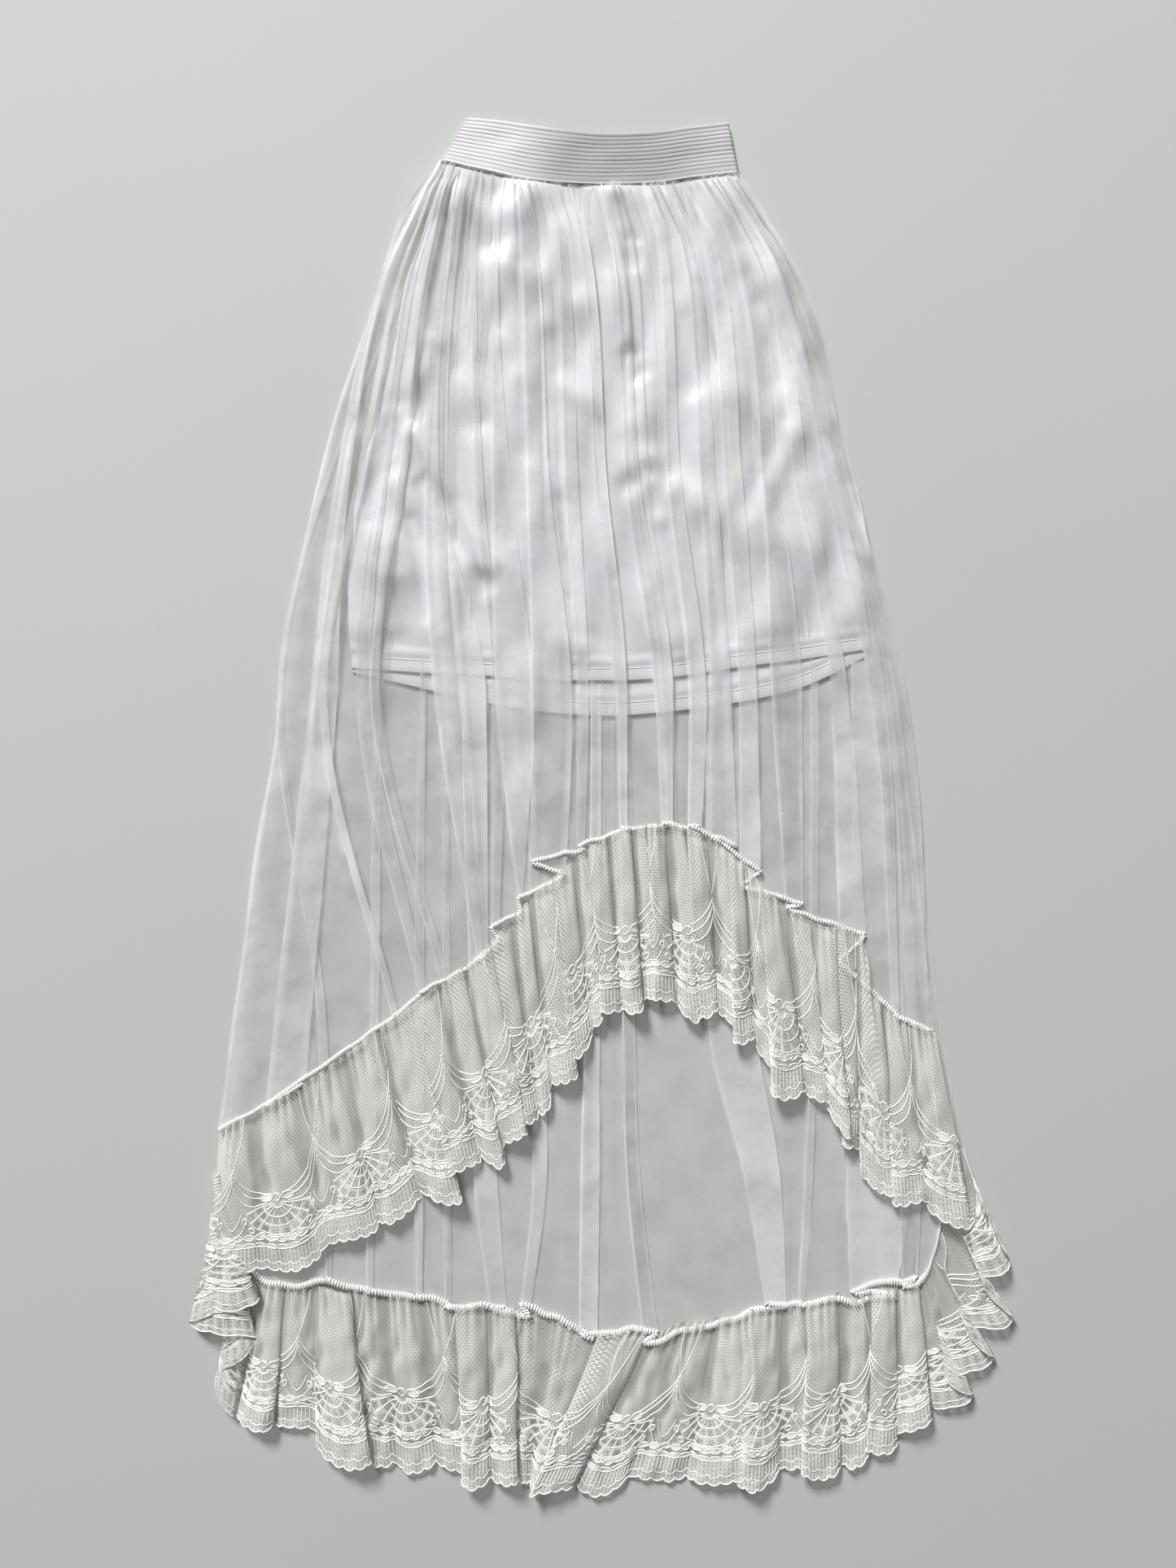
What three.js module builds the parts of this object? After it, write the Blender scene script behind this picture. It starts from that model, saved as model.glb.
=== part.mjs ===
// Lace skirt laid flat: a ribbed elastic waistband, a short A-line lining, and a long sheer net
// overskirt, shorter in front than behind, with a gathered scalloped lace ruffle round its hem.
// Millimetres. X to the wearer's left as seen from the front, Y toward the waist, Z up off the table.
import * as THREE from 'three';

// Walls and the levels the layers lie on, from the table up.
const NET_WALL = 1.0;
const LACE_WALL = 1.1;
const LACE_WALL_AT_HEM = 1.4;
const JERSEY_WALL = 1.0;
const LAYER_GAP = 0.3;
const HEM_TURN = 20;
const HEM_TURN_RISE = 0.5;
const LINING_BACK_Z = NET_WALL + LAYER_GAP;
const LINING_FRONT_Z = LINING_BACK_Z + JERSEY_WALL + HEM_TURN_RISE + LAYER_GAP;
const NET_OVER_LINING_GAP = 0.8;
const NET_FRONT_LOW_Z = NET_WALL + 0.4;

// Waistband.
const BAND_THICKNESS = 4.8;
const BAND_WALL = 1.5;
const BAND_RIBS = 10;
const RIB_HEIGHT = 0.4;
const BAND_COLUMNS = 10;
const BAND_END_STEPS = 3;
const WAIST_SEAM_GAP = 0.5;
const WAIST_EASE = 80;

// Net panels.
const WAIST_GATHERS = 36;
const GATHER_COLUMNS = 3;
const GATHER_HEIGHT = 1.9;
const FRONT_COLUMNS = 54;
const BACK_COLUMNS = 40;

// Rolled seam between net and lace.
const SEAM_WIDTH = 4.4;
const SEAM_HEIGHT = 2.2;
const SEAM_STEP = 12;
const SEAM_CLEAR = SEAM_WIDTH / 2 + 0.55;

// Lace ruffle.
const COLUMNS_PER_FLUTE = 4;
const SCALLOP_PITCH = 9;
const SCALLOP_DEPTH = 2.6;
const SCALLOP_CELLS = 3;
const REPEAT = 80;
const REPEAT_DROP = 6;
const SEAM_GATHER_SHARE = 0.12;

const table = (columns, rows) =>
  rows.map((row) => Object.fromEntries(columns.map((name, i) => [name, row[i]])));

// Edges of the waistband: height of its top and bottom edge across the width.
const BAND_EDGE = table(['at', 'top', 'bottom'], [
  [-1.0, 545, 510], [-0.75, 542, 503], [-0.4, 537, 495], [0.0, 533, 491],
  [0.4, 534, 492], [0.75, 538, 497], [1.0, 541, 500],
]);
const BAND_SIDE = { topLeft: -109, topRight: 101, bottomLeft: -130, bottomRight: 109 };

// Outline of the overskirt: left and right edge at each height.
const OUTLINE = table(['y', 'left', 'right'], [
  [508, -131, 109], [479, -156, 129], [424, -176, 149], [378, -190, 163], [317, -211, 183],
  [252, -228, 203], [187, -242, 214], [122, -254, 229], [57, -260, 239], [-47, -278, 254],
  [-112, -286, 262], [-183, -296, 272], [-224, -301, 279], [-261, -306, 281], [-290, -308, 279],
  [-317, -307, 274], [-340, -302, 269], [-363, -289, 263], [-384, -270, 252],
]);

// Outline of the lining, and its two hems.
const LINING_SIDE = table(['y', 'left', 'right'], [
  [500, -127, 107], [453, -144, 131], [382, -164, 156], [317, -177, 172],
  [226, -200, 197], [148, -202, 209], [100, -200, 213],
]);
const LINING_HEM = table(['x', 'front', 'back'], [
  [-200, 108, 105], [-140, 104, 91], [-97, 102, 81], [-34, 98, 72], [7, 98, 70], [49, 100, 73],
  [104, 108, 80], [160, 115, 93], [213, 123, 118],
]);

// Soft ridges of the front lining: from one end to the other, height and half width.
const LINING_FOLDS = table(['x1', 'y1', 'x2', 'y2', 'height', 'spread'], [
  [-143, 290, -91, 200, 1.8, 27], [-134, 360, -156, 310, 1.4, 24], [-39, 427, -36, 372, 1.2, 24],
  [26, 336, 42, 286, 1.6, 26], [-26, 252, -14, 160, 1.6, 26], [120, 300, 104, 190, 1.4, 28],
  [160, 250, 176, 170, 1.0, 26],
]);

// Seam and lace edge of the front and of the back ruffle.
const FRONT_SEAM = table(['x', 'y'], [
  [-306, -261], [-270, -240], [-234, -220], [-202, -197], [-169, -172], [-127, -142], [-91, -112],
  [-65, -83], [-28, -49], [6, -25], [39, -16], [78, -24], [107, -44], [136, -74], [172, -104],
  [195, -133], [228, -162], [265, -182],
]);
const FRONT_HEM = table(['x', 'y'], [
  [-315, -372], [-266, -370], [-221, -363], [-188, -338], [-143, -318], [-104, -292], [-62, -259],
  [-26, -210], [3, -170], [39, -158], [72, -163], [107, -178], [146, -224], [182, -244],
  [205, -294], [247, -318], [289, -337],
]);
const BACK_SEAM = table(['x', 'y'], [
  [-270, -384], [-221, -386], [-169, -391], [-117, -397], [-65, -403], [-25, -415], [20, -420],
  [60, -415], [104, -406], [143, -401], [202, -390], [252, -384],
]);
const BACK_HEM = table(['x', 'y'], [
  [-291, -486], [-237, -500], [-208, -516], [-136, -528], [-78, -536], [-42, -544], [0, -541],
  [72, -536], [150, -530], [202, -523], [231, -509], [260, -480],
]);

// Flutes of the ruffles: where the crest leaves the seam, where it meets the edge, its height there.
const FRONT_FLUTES = table(['seam', 'hem', 'height'], [
  [-286, -286, 3], [-257, -234, 3], [-221, -192, 3], [-185, -143, 4], [-166, -122, 6],
  [-140, -101, 7], [-117, -84, 6], [-98, -68, 6], [-81, -52, 6], [-65, -44, 5], [-47, -29, 6],
  [-28, -14, 7], [-16, -3, 5], [-3, 8, 5], [13, 27, 7], [29, 39, 5], [42, 52, 5], [55, 64, 5],
  [72, 79, 5], [91, 98, 6], [107, 114, 7], [120, 127, 6], [133, 150, 7], [153, 172, 6],
  [176, 185, 7], [192, 198, 6], [208, 218, 6], [231, 247, 5], [254, 276, 5],
]);
const BACK_FLUTES = table(['seam', 'hem', 'height'], [
  [-262, -278, 7], [-247, -247, 4], [-218, -205, 9], [-185, -176, 4], [-156, -143, 4],
  [-130, -117, 6], [-98, -91, 8], [-79, -77, 6], [-65, -65, 4], [-32, -55, 5], [3, -42, 7],
  [20, -13, 5], [37, 32, 6], [72, 70, 5], [107, 96, 8], [136, 133, 8], [159, 153, 6],
  [172, 176, 7], [202, 202, 4], [228, 224, 6], [244, 246, 6],
]);

// Ruffle at the two sides, folded down on itself: points of the seam and of the lace edge.
const LEFT_SIDE = table(['seamX', 'seamY', 'hemX', 'hemY'], [
  [-308, -300, -327, -410], [-308, -317, -322, -422], [-303, -338, -316, -433],
  [-294, -356, -309, -447], [-284, -371, -301, -465], [-273, -383, -292.5, -484],
]);
const RIGHT_SIDE = table(['seamX', 'seamY', 'hemX', 'hemY'], [
  [254, -383, 262, -480], [260, -372, 279, -474], [266, -353, 297, -462], [273, -327, 310, -442],
  [278, -294, 320, -427], [281, -262, 326, -411], [281, -238, 325, -393], [279, -212, 320, -362],
]);
const SIDE_FLUTES = 6;
const SIDE_FLUTE_HEIGHT = 8;
const SIDE_FLAT_SHARE = 0.4;
const FRONT_END_LIFT = 1.8;

// Long pressed folds of the net: the column they follow, how far down they start, their height.
const FRONT_FOLDS = table(['column', 'from', 'height'], [
  [7, 0.45, 0.9], [11, 0.3, 1.1], [16, 0.1, 1.5], [20, 0.2, 1.2], [24, 0.35, 1.4], [27, 0.1, 1.2],
  [30, 0.1, 1.3], [34, 0.1, 1.3], [37, 0.1, 1.1], [41, 0.1, 1.2], [45, 0.15, 1.4], [49, 0.4, 1.0],
]);
const BACK_FOLDS = table(['column', 'from', 'height'], [
  [7, 0.8, 0.7], [11, 0.82, 0.8], [14, 0.8, 1.1], [16, 0.78, 0.8], [20, 0.74, 1.3],
  [24, 0.72, 1.3], [31, 0.76, 1.5], [37, 0.84, 1.1],
]);

const lerp = (a, b, t) => a + (b - a) * t;
const clamp01 = (t) => Math.min(1, Math.max(0, t));
const smooth = (from, to, value) => {
  const t = clamp01((value - from) / (to - from));
  return t * t * (3 - 2 * t);
};

// Smooth curve through a table: the value of one column at a place in another.
function at(rows, key, name, place) {
  const up = rows[rows.length - 1][key] > rows[0][key];
  const list = up ? rows : rows.slice().reverse();
  const last = list.length - 1;
  if (place <= list[0][key]) return list[0][name];
  if (place >= list[last][key]) return list[last][name];
  let i = 0;
  while (list[i + 1][key] < place) i += 1;
  const slope = (k) => {
    const a = list[Math.max(0, k - 1)];
    const b = list[Math.min(last, k + 1)];
    return (b[name] - a[name]) / (b[key] - a[key]);
  };
  const width = list[i + 1][key] - list[i][key];
  const t = (place - list[i][key]) / width;
  const rise = list[i + 1][name] - list[i][name];
  const limit = (s) => (rise === 0 ? 0 : Math.sign(rise) * Math.min(Math.abs(s), 2.5 * Math.abs(rise / width)));
  const s0 = limit(slope(i)) * width;
  const s1 = limit(slope(i + 1)) * width;
  const base = list[i][name];
  return base + t * s0 + t * t * (3 * rise - 2 * s0 - s1) + t * t * t * (s0 + s1 - 2 * rise);
}

const even = (cells) => Array.from({ length: cells + 1 }, (_, k) => k / cells);

// A closed mesh from points and triangles, its faces turned outward.
function solid(name, points, faces, look) {
  let volume = 0;
  for (const [a, b, c] of faces) {
    const [p, q, r] = [points[a], points[b], points[c]];
    volume += p[0] * (q[1] * r[2] - q[2] * r[1]) + p[1] * (q[2] * r[0] - q[0] * r[2])
      + p[2] * (q[0] * r[1] - q[1] * r[0]);
  }
  const index = volume > 0 ? faces.flat() : faces.flatMap(([a, b, c]) => [a, c, b]);
  const geometry = new THREE.BufferGeometry();
  geometry.setAttribute('position', new THREE.Float32BufferAttribute(points.flat(), 3));
  geometry.setIndex(index);
  geometry.computeVertexNormals();
  const mesh = new THREE.Mesh(geometry, new THREE.MeshStandardMaterial(look));
  mesh.name = name;
  return mesh;
}

// A cloth wall from rows of columns: place(u, v) gives x, y, the underside and the top.
// Neighbouring rows may have different columns; they are stitched by their places in u.
function wall(name, rows, place, look) {
  const points = [];
  const faces = [];
  const grid = rows.map(({ v, columns }) => columns.map((u) => {
    const [x, y, low, high] = place(u, v);
    points.push([x, y, low], [x, y, high]);
    return { u, low: points.length - 2, high: points.length - 1 };
  }));
  for (let r = 0; r + 1 < grid.length; r += 1) {
    const [a, b] = [grid[r], grid[r + 1]];
    let i = 0;
    let j = 0;
    while (i + 1 < a.length || j + 1 < b.length) {
      const stepA = j + 1 >= b.length || (i + 1 < a.length && a[i + 1].u <= b[j + 1].u);
      const next = stepA ? a[i + 1] : b[j + 1];
      faces.push([a[i].high, b[j].high, next.high], [a[i].low, next.low, b[j].low]);
      if (stepA) i += 1;
      else j += 1;
    }
    for (const [side, turn] of [[0, false], [1, true]]) {
      const p = side ? a[a.length - 1] : a[0];
      const q = side ? b[b.length - 1] : b[0];
      faces.push(turn ? [p.high, q.high, p.low] : [p.high, p.low, q.high]);
      faces.push(turn ? [q.high, q.low, p.low] : [q.high, p.low, q.low]);
    }
  }
  for (const [row, turn] of [[grid[0], false], [grid[grid.length - 1], true]]) {
    for (let k = 0; k + 1 < row.length; k += 1) {
      const [p, q] = [row[k], row[k + 1]];
      faces.push(turn ? [p.high, p.low, q.high] : [p.high, q.high, p.low]);
      faces.push(turn ? [q.high, p.low, q.low] : [q.high, q.low, p.low]);
    }
  }
  return solid(name, points, faces, look);
}

// The point a distance to the upper side of a seam, square to it.
function besideSeam(seam, x, distance) {
  const slope = (at(seam, 'x', 'y', x + 4) - at(seam, 'x', 'y', x - 4)) / 8;
  const size = Math.hypot(1, slope);
  return [x - (slope / size) * distance, at(seam, 'x', 'y', x) + distance / size];
}

const bandBottom = (side) => at(BAND_EDGE, 'at', 'bottom', side);

// Overskirt panels: from the waist seam to the hem seam, between the two outlines.
function panelPoint(u, v, seam) {
  const [seamX, seamY] = besideSeam(seam, lerp(seam[0].x, seam[seam.length - 1].x, u), SEAM_CLEAR);
  const waistX = lerp(BAND_SIDE.bottomLeft, BAND_SIDE.bottomRight, u);
  const waistY = bandBottom(2 * u - 1) - WAIST_SEAM_GAP;
  const y = lerp(waistY, seamY, v);
  const across = (height) => lerp(at(OUTLINE, 'y', 'left', height), at(OUTLINE, 'y', 'right', height), u);
  const fromSeam = (seamX - across(seamY)) * v ** 2;
  const fromWaist = (waistX - across(waistY)) * clamp01(1 - (waistY - y) / WAIST_EASE) ** 2;
  return { x: across(y) + fromSeam + fromWaist, y };
}

function foldRise(folds, columns, u, v, reach) {
  let rise = 0;
  for (const fold of folds) {
    const away = Math.abs(u * columns - fold.column);
    rise = Math.max(rise, fold.height * clamp01(1 - away / reach) * smooth(fold.from, fold.from + 0.1, v));
  }
  return rise;
}

// Height of the soft ridges of the lining.
function liningRise(x, y) {
  let rise = 0;
  for (const fold of LINING_FOLDS) {
    const [dx, dy] = [fold.x2 - fold.x1, fold.y2 - fold.y1];
    const t = clamp01(((x - fold.x1) * dx + (y - fold.y1) * dy) / (dx * dx + dy * dy));
    const away = Math.hypot(x - fold.x1 - t * dx, y - fold.y1 - t * dy);
    rise += fold.height * Math.exp(-((away / fold.spread) ** 2));
  }
  return rise * smooth(500, 440, y);
}

// How far a place is inside the lining.
function insideLining(x, y) {
  const left = x - at(LINING_SIDE, 'y', 'left', y);
  const right = at(LINING_SIDE, 'y', 'right', y) - x;
  return Math.min(left, right, y - at(LINING_HEM, 'x', 'back', x));
}

function netFrontLow(x, y) {
  const over = LINING_FRONT_Z + JERSEY_WALL + NET_OVER_LINING_GAP + liningRise(x, y)
    + HEM_TURN_RISE * smooth(160, 135, y);
  const share = smooth(-66, -28, insideLining(x, y));
  return lerp(NET_FRONT_LOW_Z, over, share);
}

function overskirtFront() {
  const gathered = even(WAIST_GATHERS * GATHER_COLUMNS);
  const plain = even(FRONT_COLUMNS);
  const rows = [
    ...[0, 0.022, 0.09].map((v) => ({ v, columns: gathered })),
    ...[0.17, 0.24, 0.3, 0.36, 0.43, 0.5, 0.57, 0.64, 0.71, 0.79, 0.88, 1].map((v) => ({ v, columns: plain })),
  ];
  return wall('overskirt_front', rows, (u, v) => {
    const { x, y } = panelPoint(u, v, FRONT_SEAM);
    const low = netFrontLow(x, y);
    const step = Math.round(u * WAIST_GATHERS * GATHER_COLUMNS) % GATHER_COLUMNS;
    const uneven = 0.75 + 0.25 * Math.sin(u * 71);
    const gather = step === 1 && v < 0.1 ? GATHER_HEIGHT * uneven * (1 - v * 4) : 0;
    const fold = foldRise(FRONT_FOLDS, FRONT_COLUMNS, u, v, 1.6);
    return [x, y, low, low + NET_WALL + Math.max(gather, fold)];
  }, { color: 0xe9ebe8, roughness: 0.85, metalness: 0 });
}

function overskirtBack() {
  const columns = even(BACK_COLUMNS);
  const rows = [0, 0.12, 0.26, 0.4, 0.54, 0.66, 0.75, 0.84, 0.92, 1].map((v) => ({ v, columns }));
  return wall('overskirt_back', rows, (u, v) => {
    const { x, y } = panelPoint(u, v, BACK_SEAM);
    const inset = y < -200 ? SEAM_CLEAR * Math.sign(0.5 - u) * (Math.abs(2 * u - 1) ** 3) : 0;
    const open = smooth(at(FRONT_HEM, 'x', 'y', x) - 14, at(FRONT_HEM, 'x', 'y', x) - 50, y);
    return [x + inset, y, 0, NET_WALL + open * foldRise(BACK_FOLDS, BACK_COLUMNS, u, v, 1.3)];
  }, { color: 0xe4e7e4, roughness: 0.85, metalness: 0 });
}

function lining(name, hemName, base, cells, steps, ridges) {
  const columns = even(cells);
  const hemShare = 0.93;
  const rows = [...even(steps).map((k) => k * (hemShare - 0.005)), hemShare, 1].map((v) => ({ v, columns }));
  return wall(name, rows, (u, v) => {
    const hemX = lerp(LINING_HEM[0].x, LINING_HEM[LINING_HEM.length - 1].x, u);
    const waistY = bandBottom(2 * u - 1) - WAIST_SEAM_GAP;
    const hemY = at(LINING_HEM, 'x', hemName, hemX);
    const turn = waistY - hemY - HEM_TURN;
    const y = v < hemShare ? waistY - turn * (v / hemShare) : lerp(waistY - turn, hemY, (v - hemShare) / (1 - hemShare));
    const across = (height) => lerp(at(LINING_SIDE, 'y', 'left', height), at(LINING_SIDE, 'y', 'right', height), u);
    const x = across(y) + (hemX - across(hemY)) * v ** 4;
    const low = base + (ridges ? liningRise(x, y) : 0);
    return [x, y, low, low + JERSEY_WALL + (v >= hemShare ? HEM_TURN_RISE : 0)];
  }, { color: 0xf4f3f4, roughness: 0.45, metalness: 0 });
}

// Waistband: a flattened ring of ribbed elastic, ribs on the outside, plain inside, open above and below.
function waistband() {
  const rise = BAND_THICKNESS / 2;
  const loop = [];
  const straight = (from, to, z) => {
    for (let k = 0; k < BAND_COLUMNS; k += 1) loop.push({ side: lerp(from, to, k / BAND_COLUMNS), z, out: [0, z] });
  };
  const round = (side, from) => {
    for (let k = 0; k < BAND_END_STEPS; k += 1) {
      const a = from - (Math.PI * k) / BAND_END_STEPS;
      loop.push({ side, z: Math.sin(a), out: [Math.cos(a), Math.sin(a)] });
    }
  };
  straight(-1, 1, 1);
  round(1, Math.PI / 2);
  straight(1, -1, -1);
  round(-1, -Math.PI / 2);
  const points = [];
  const ring = (v, reach) => loop.map(({ side, z, out }) => {
    const left = lerp(BAND_SIDE.topLeft, BAND_SIDE.bottomLeft, v) + rise + RIB_HEIGHT;
    const right = lerp(BAND_SIDE.topRight, BAND_SIDE.bottomRight, v) - rise - RIB_HEIGHT;
    const x = lerp(left, right, (side + 1) / 2) + out[0] * (rise + reach);
    const y = lerp(at(BAND_EDGE, 'at', 'top', side), at(BAND_EDGE, 'at', 'bottom', side), v);
    points.push([x, y, rise + RIB_HEIGHT + z * (rise + reach)]);
    return points.length - 1;
  });
  const outer = even(BAND_RIBS * 2).map((v, k) => ring(v, k % 2 ? RIB_HEIGHT : 0));
  const inner = even(2).reverse().map((v) => ring(v, -BAND_WALL));
  const rings = [...outer, ...inner];
  const faces = [];
  rings.forEach((row, r) => {
    const next = rings[(r + 1) % rings.length];
    row.forEach((p, k) => {
      const m = (k + 1) % row.length;
      faces.push([p, next[k], row[m]], [row[m], next[k], next[m]]);
    });
  });
  return solid('waistband', points, faces, { color: 0xe6e1e5, roughness: 0.7, metalness: 0 });
}

// Rolled seam: a low rounded cord along a line of points.
function seamCord(name, path, base) {
  const count = path.length - 1;
  const half = SEAM_WIDTH / 2;
  const section = [[-half, 0], [-half, 0.55], [-half * 0.5, 1], [half * 0.5, 1], [half, 0.55], [half, 0]];
  const points = [];
  const faces = [];
  path.forEach(([x, y], k) => {
    const [before, after] = [path[Math.max(0, k - 1)], path[Math.min(count, k + 1)]];
    const [dx, dy] = [after[0] - before[0], after[1] - before[1]];
    const size = Math.hypot(dx, dy);
    for (const [side, height] of section) {
      points.push([x - (dy / size) * side, y + (dx / size) * side, base + height * SEAM_HEIGHT]);
    }
  });
  const n = section.length;
  for (let k = 0; k < count; k += 1) {
    for (let i = 0; i < n; i += 1) {
      const [a, b, c, d] = [k * n + i, k * n + ((i + 1) % n), (k + 1) * n + i, (k + 1) * n + ((i + 1) % n)];
      faces.push([a, c, b], [b, c, d]);
    }
  }
  for (let i = 1; i + 1 < n; i += 1) {
    faces.push([0, i, i + 1], [count * n, count * n + i + 1, count * n + i]);
  }
  return solid(name, points, faces, { color: 0xf6f6f4, roughness: 0.8, metalness: 0 });
}

// Columns of a ruffle: four to a flute, trough, flank, crest, flank, each with its two ends and rise.
function fluteColumns(flutes, seamEnds, hemEnds) {
  const columns = [];
  const edge = (list, key, k, ends) => {
    if (k < 0) return ends[0];
    if (k >= list.length - 1) return ends[1];
    return (list[k][key] + list[k + 1][key]) / 2;
  };
  flutes.forEach((flute, k) => {
    const start = { seam: edge(flutes, 'seam', k - 1, seamEnds), hem: edge(flutes, 'hem', k - 1, hemEnds) };
    const end = { seam: edge(flutes, 'seam', k, seamEnds), hem: edge(flutes, 'hem', k, hemEnds) };
    const half = COLUMNS_PER_FLUTE / 2;
    for (let step = 0; step < COLUMNS_PER_FLUTE; step += 1) {
      const [from, to] = step < half ? [start, flute] : [flute, end];
      const t = (step % half) / half;
      const share = step < half ? t : 1 - t;
      columns.push({
        seam: lerp(from.seam, to.seam, t), hem: lerp(from.hem, to.hem, t), rise: flute.height * share,
      });
    }
  });
  columns.push({ seam: seamEnds[1], hem: hemEnds[1], rise: 0 });
  return columns;
}

// A ruffle: columns of {seam point, hem point, rise}, a level for its underside, flat near the seam or not.
function ruffle(name, columns, level, flatShare) {
  const last = columns.length - 1;
  const rise = (column, v) => column.rise * lerp(SEAM_GATHER_SHARE * (flatShare ? 0 : 1), 1, smooth(flatShare, 1, v));
  const coarse = (k, v) => {
    const column = columns[k];
    const [x, y] = [0, 1].map((i) => lerp(column.seam[i], column.hem[i], v));
    const low = level(k / last, v) + rise(column, v);
    return [x, y, low, low + lerp(LACE_WALL, LACE_WALL_AT_HEM, v)];
  };
  const run = [0];
  for (let k = 0; k < last; k += 1) {
    const [p, q] = [coarse(k, 1), coarse(k + 1, 1)];
    run.push(run[k] + Math.hypot(q[0] - p[0], q[1] - p[1], q[2] - p[2]));
  }
  const cells = Math.round(run[last] / SCALLOP_PITCH) * SCALLOP_CELLS;
  const fine = even(cells).map((share) => {
    const length = share * run[last];
    let k = 0;
    while (k < last - 1 && run[k + 1] < length) k += 1;
    return clamp01((k + (length - run[k]) / (run[k + 1] - run[k])) / last);
  });
  const steps = even(last);
  const rows = [0, 0.18, 0.5, 0.84].map((v) => ({ v, columns: steps })).concat({ v: 1, columns: fine });
  return wall(name, rows, (u, v) => {
    const k = Math.min(last - 1, Math.floor(u * last + 1e-9));
    const t = u * last - k;
    const [p, q] = [coarse(k, v), coarse(k + 1, v)];
    const point = p.map((value, i) => lerp(value, q[i], t));
    if (v < 1) return point;
    const length = lerp(run[k], run[k + 1], t);
    const cell = Math.round((length / run[last]) * cells) % SCALLOP_CELLS;
    const drop = (cell ? SCALLOP_DEPTH : 0) + REPEAT_DROP * Math.abs(Math.sin((Math.PI * length) / REPEAT)) - REPEAT_DROP / 2;
    const top = coarse(k, 0);
    const [dx, dy] = [point[0] - top[0], point[1] - top[1]];
    const size = Math.hypot(dx, dy);
    return [point[0] + (dx / size) * drop, point[1] + (dy / size) * drop, point[2], point[3]];
  }, { color: 0xf1eee6, roughness: 0.8, metalness: 0 });
}

function ruffleOfTables(name, flutes, seam, hem, level) {
  const inset = 0.6;
  const ends = (rows) => [rows[0].x + inset, rows[rows.length - 1].x - inset];
  const columns = fluteColumns(flutes, ends(seam), ends(hem)).map((column) => ({
    seam: besideSeam(seam, column.seam, -SEAM_CLEAR),
    hem: [column.hem, at(hem, 'x', 'y', column.hem)],
    rise: column.rise,
  }));
  return ruffle(name, columns, level, 0);
}

function sideRuffle(name, rows) {
  const last = rows.length - 1;
  const count = SIDE_FLUTES * COLUMNS_PER_FLUTE;
  const places = rows.map((row, k) => ({ ...row, k }));
  const seamAt = (place) => [at(places, 'k', 'seamX', place), at(places, 'k', 'seamY', place)];
  const columns = even(count).map((share, k) => {
    const place = share * last;
    const [seamX, seamY] = seamAt(place);
    const [before, after] = [seamAt(Math.max(0, place - 0.3)), seamAt(Math.min(last, place + 0.3))];
    const [dx, dy] = [after[0] - before[0], after[1] - before[1]];
    const size = Math.hypot(dx, dy);
    const hem = ['hemX', 'hemY'].map((column) => at(places, 'k', column, place));
    const step = k % COLUMNS_PER_FLUTE;
    const half = COLUMNS_PER_FLUTE / 2;
    const crest = 1 - Math.abs(step - half) / half;
    const seam = [seamX + (dy / size) * SEAM_CLEAR, seamY - (dx / size) * SEAM_CLEAR];
    return { seam, hem, rise: SIDE_FLUTE_HEIGHT * crest };
  });
  return ruffle(name, columns, () => 0, SIDE_FLAT_SHARE);
}

const frontLevel = (u, v) => NET_FRONT_LOW_Z
  + FRONT_END_LIFT * smooth(0, 0.3, v) * (smooth(0.16, 0.06, u) + smooth(0.86, 0.94, u));

function seamPath(rows, trim) {
  const [first, last] = [rows[0].x + trim, rows[rows.length - 1].x - trim];
  const count = Math.round((last - first) / SEAM_STEP);
  return even(count).map((t) => [lerp(first, last, t), at(rows, 'x', 'y', lerp(first, last, t))]);
}
function sidePath(rows, from, to) {
  const places = rows.map((row, k) => ({ ...row, k }));
  const count = Math.round((to - from) * 2);
  return even(count).map((t) => ['seamX', 'seamY'].map((column) => at(places, 'k', column, lerp(from, to, t))));
}

const skirt = new THREE.Group();
skirt.name = 'lace_skirt';
skirt.add(
  waistband(),
  lining('lining_back', 'back', LINING_BACK_Z, 14, 6, false),
  lining('lining_front', 'front', LINING_FRONT_Z, 26, 14, true),
  overskirtBack(),
  overskirtFront(),
  seamCord('hem_seam_back', [...sidePath(LEFT_SIDE, 0, 4.5), ...seamPath(BACK_SEAM, 3), ...sidePath(RIGHT_SIDE, 0.5, 7)], 0),
  seamCord('hem_seam_front', seamPath(FRONT_SEAM, 3), NET_FRONT_LOW_Z),
  ruffleOfTables('ruffle_back', BACK_FLUTES, BACK_SEAM, BACK_HEM, () => 0),
  ruffleOfTables('ruffle_front', FRONT_FLUTES, FRONT_SEAM, FRONT_HEM, frontLevel),
  sideRuffle('ruffle_left', LEFT_SIDE),
  sideRuffle('ruffle_right', RIGHT_SIDE),
);

// Origin at the middle of the underside.
const box = new THREE.Box3().setFromObject(skirt);
const centre = box.getCenter(new THREE.Vector3());
skirt.children.forEach((mesh) => mesh.geometry.translate(-centre.x, -centre.y, -box.min.z));

export default skirt;
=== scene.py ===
"""Lace skirt laid flat on a pale board: ribbed elastic waistband, short satin jersey lining, a sheer
gathered net overskirt, shorter in front, and a gathered scalloped lace ruffle round its hem."""

import math

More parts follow.
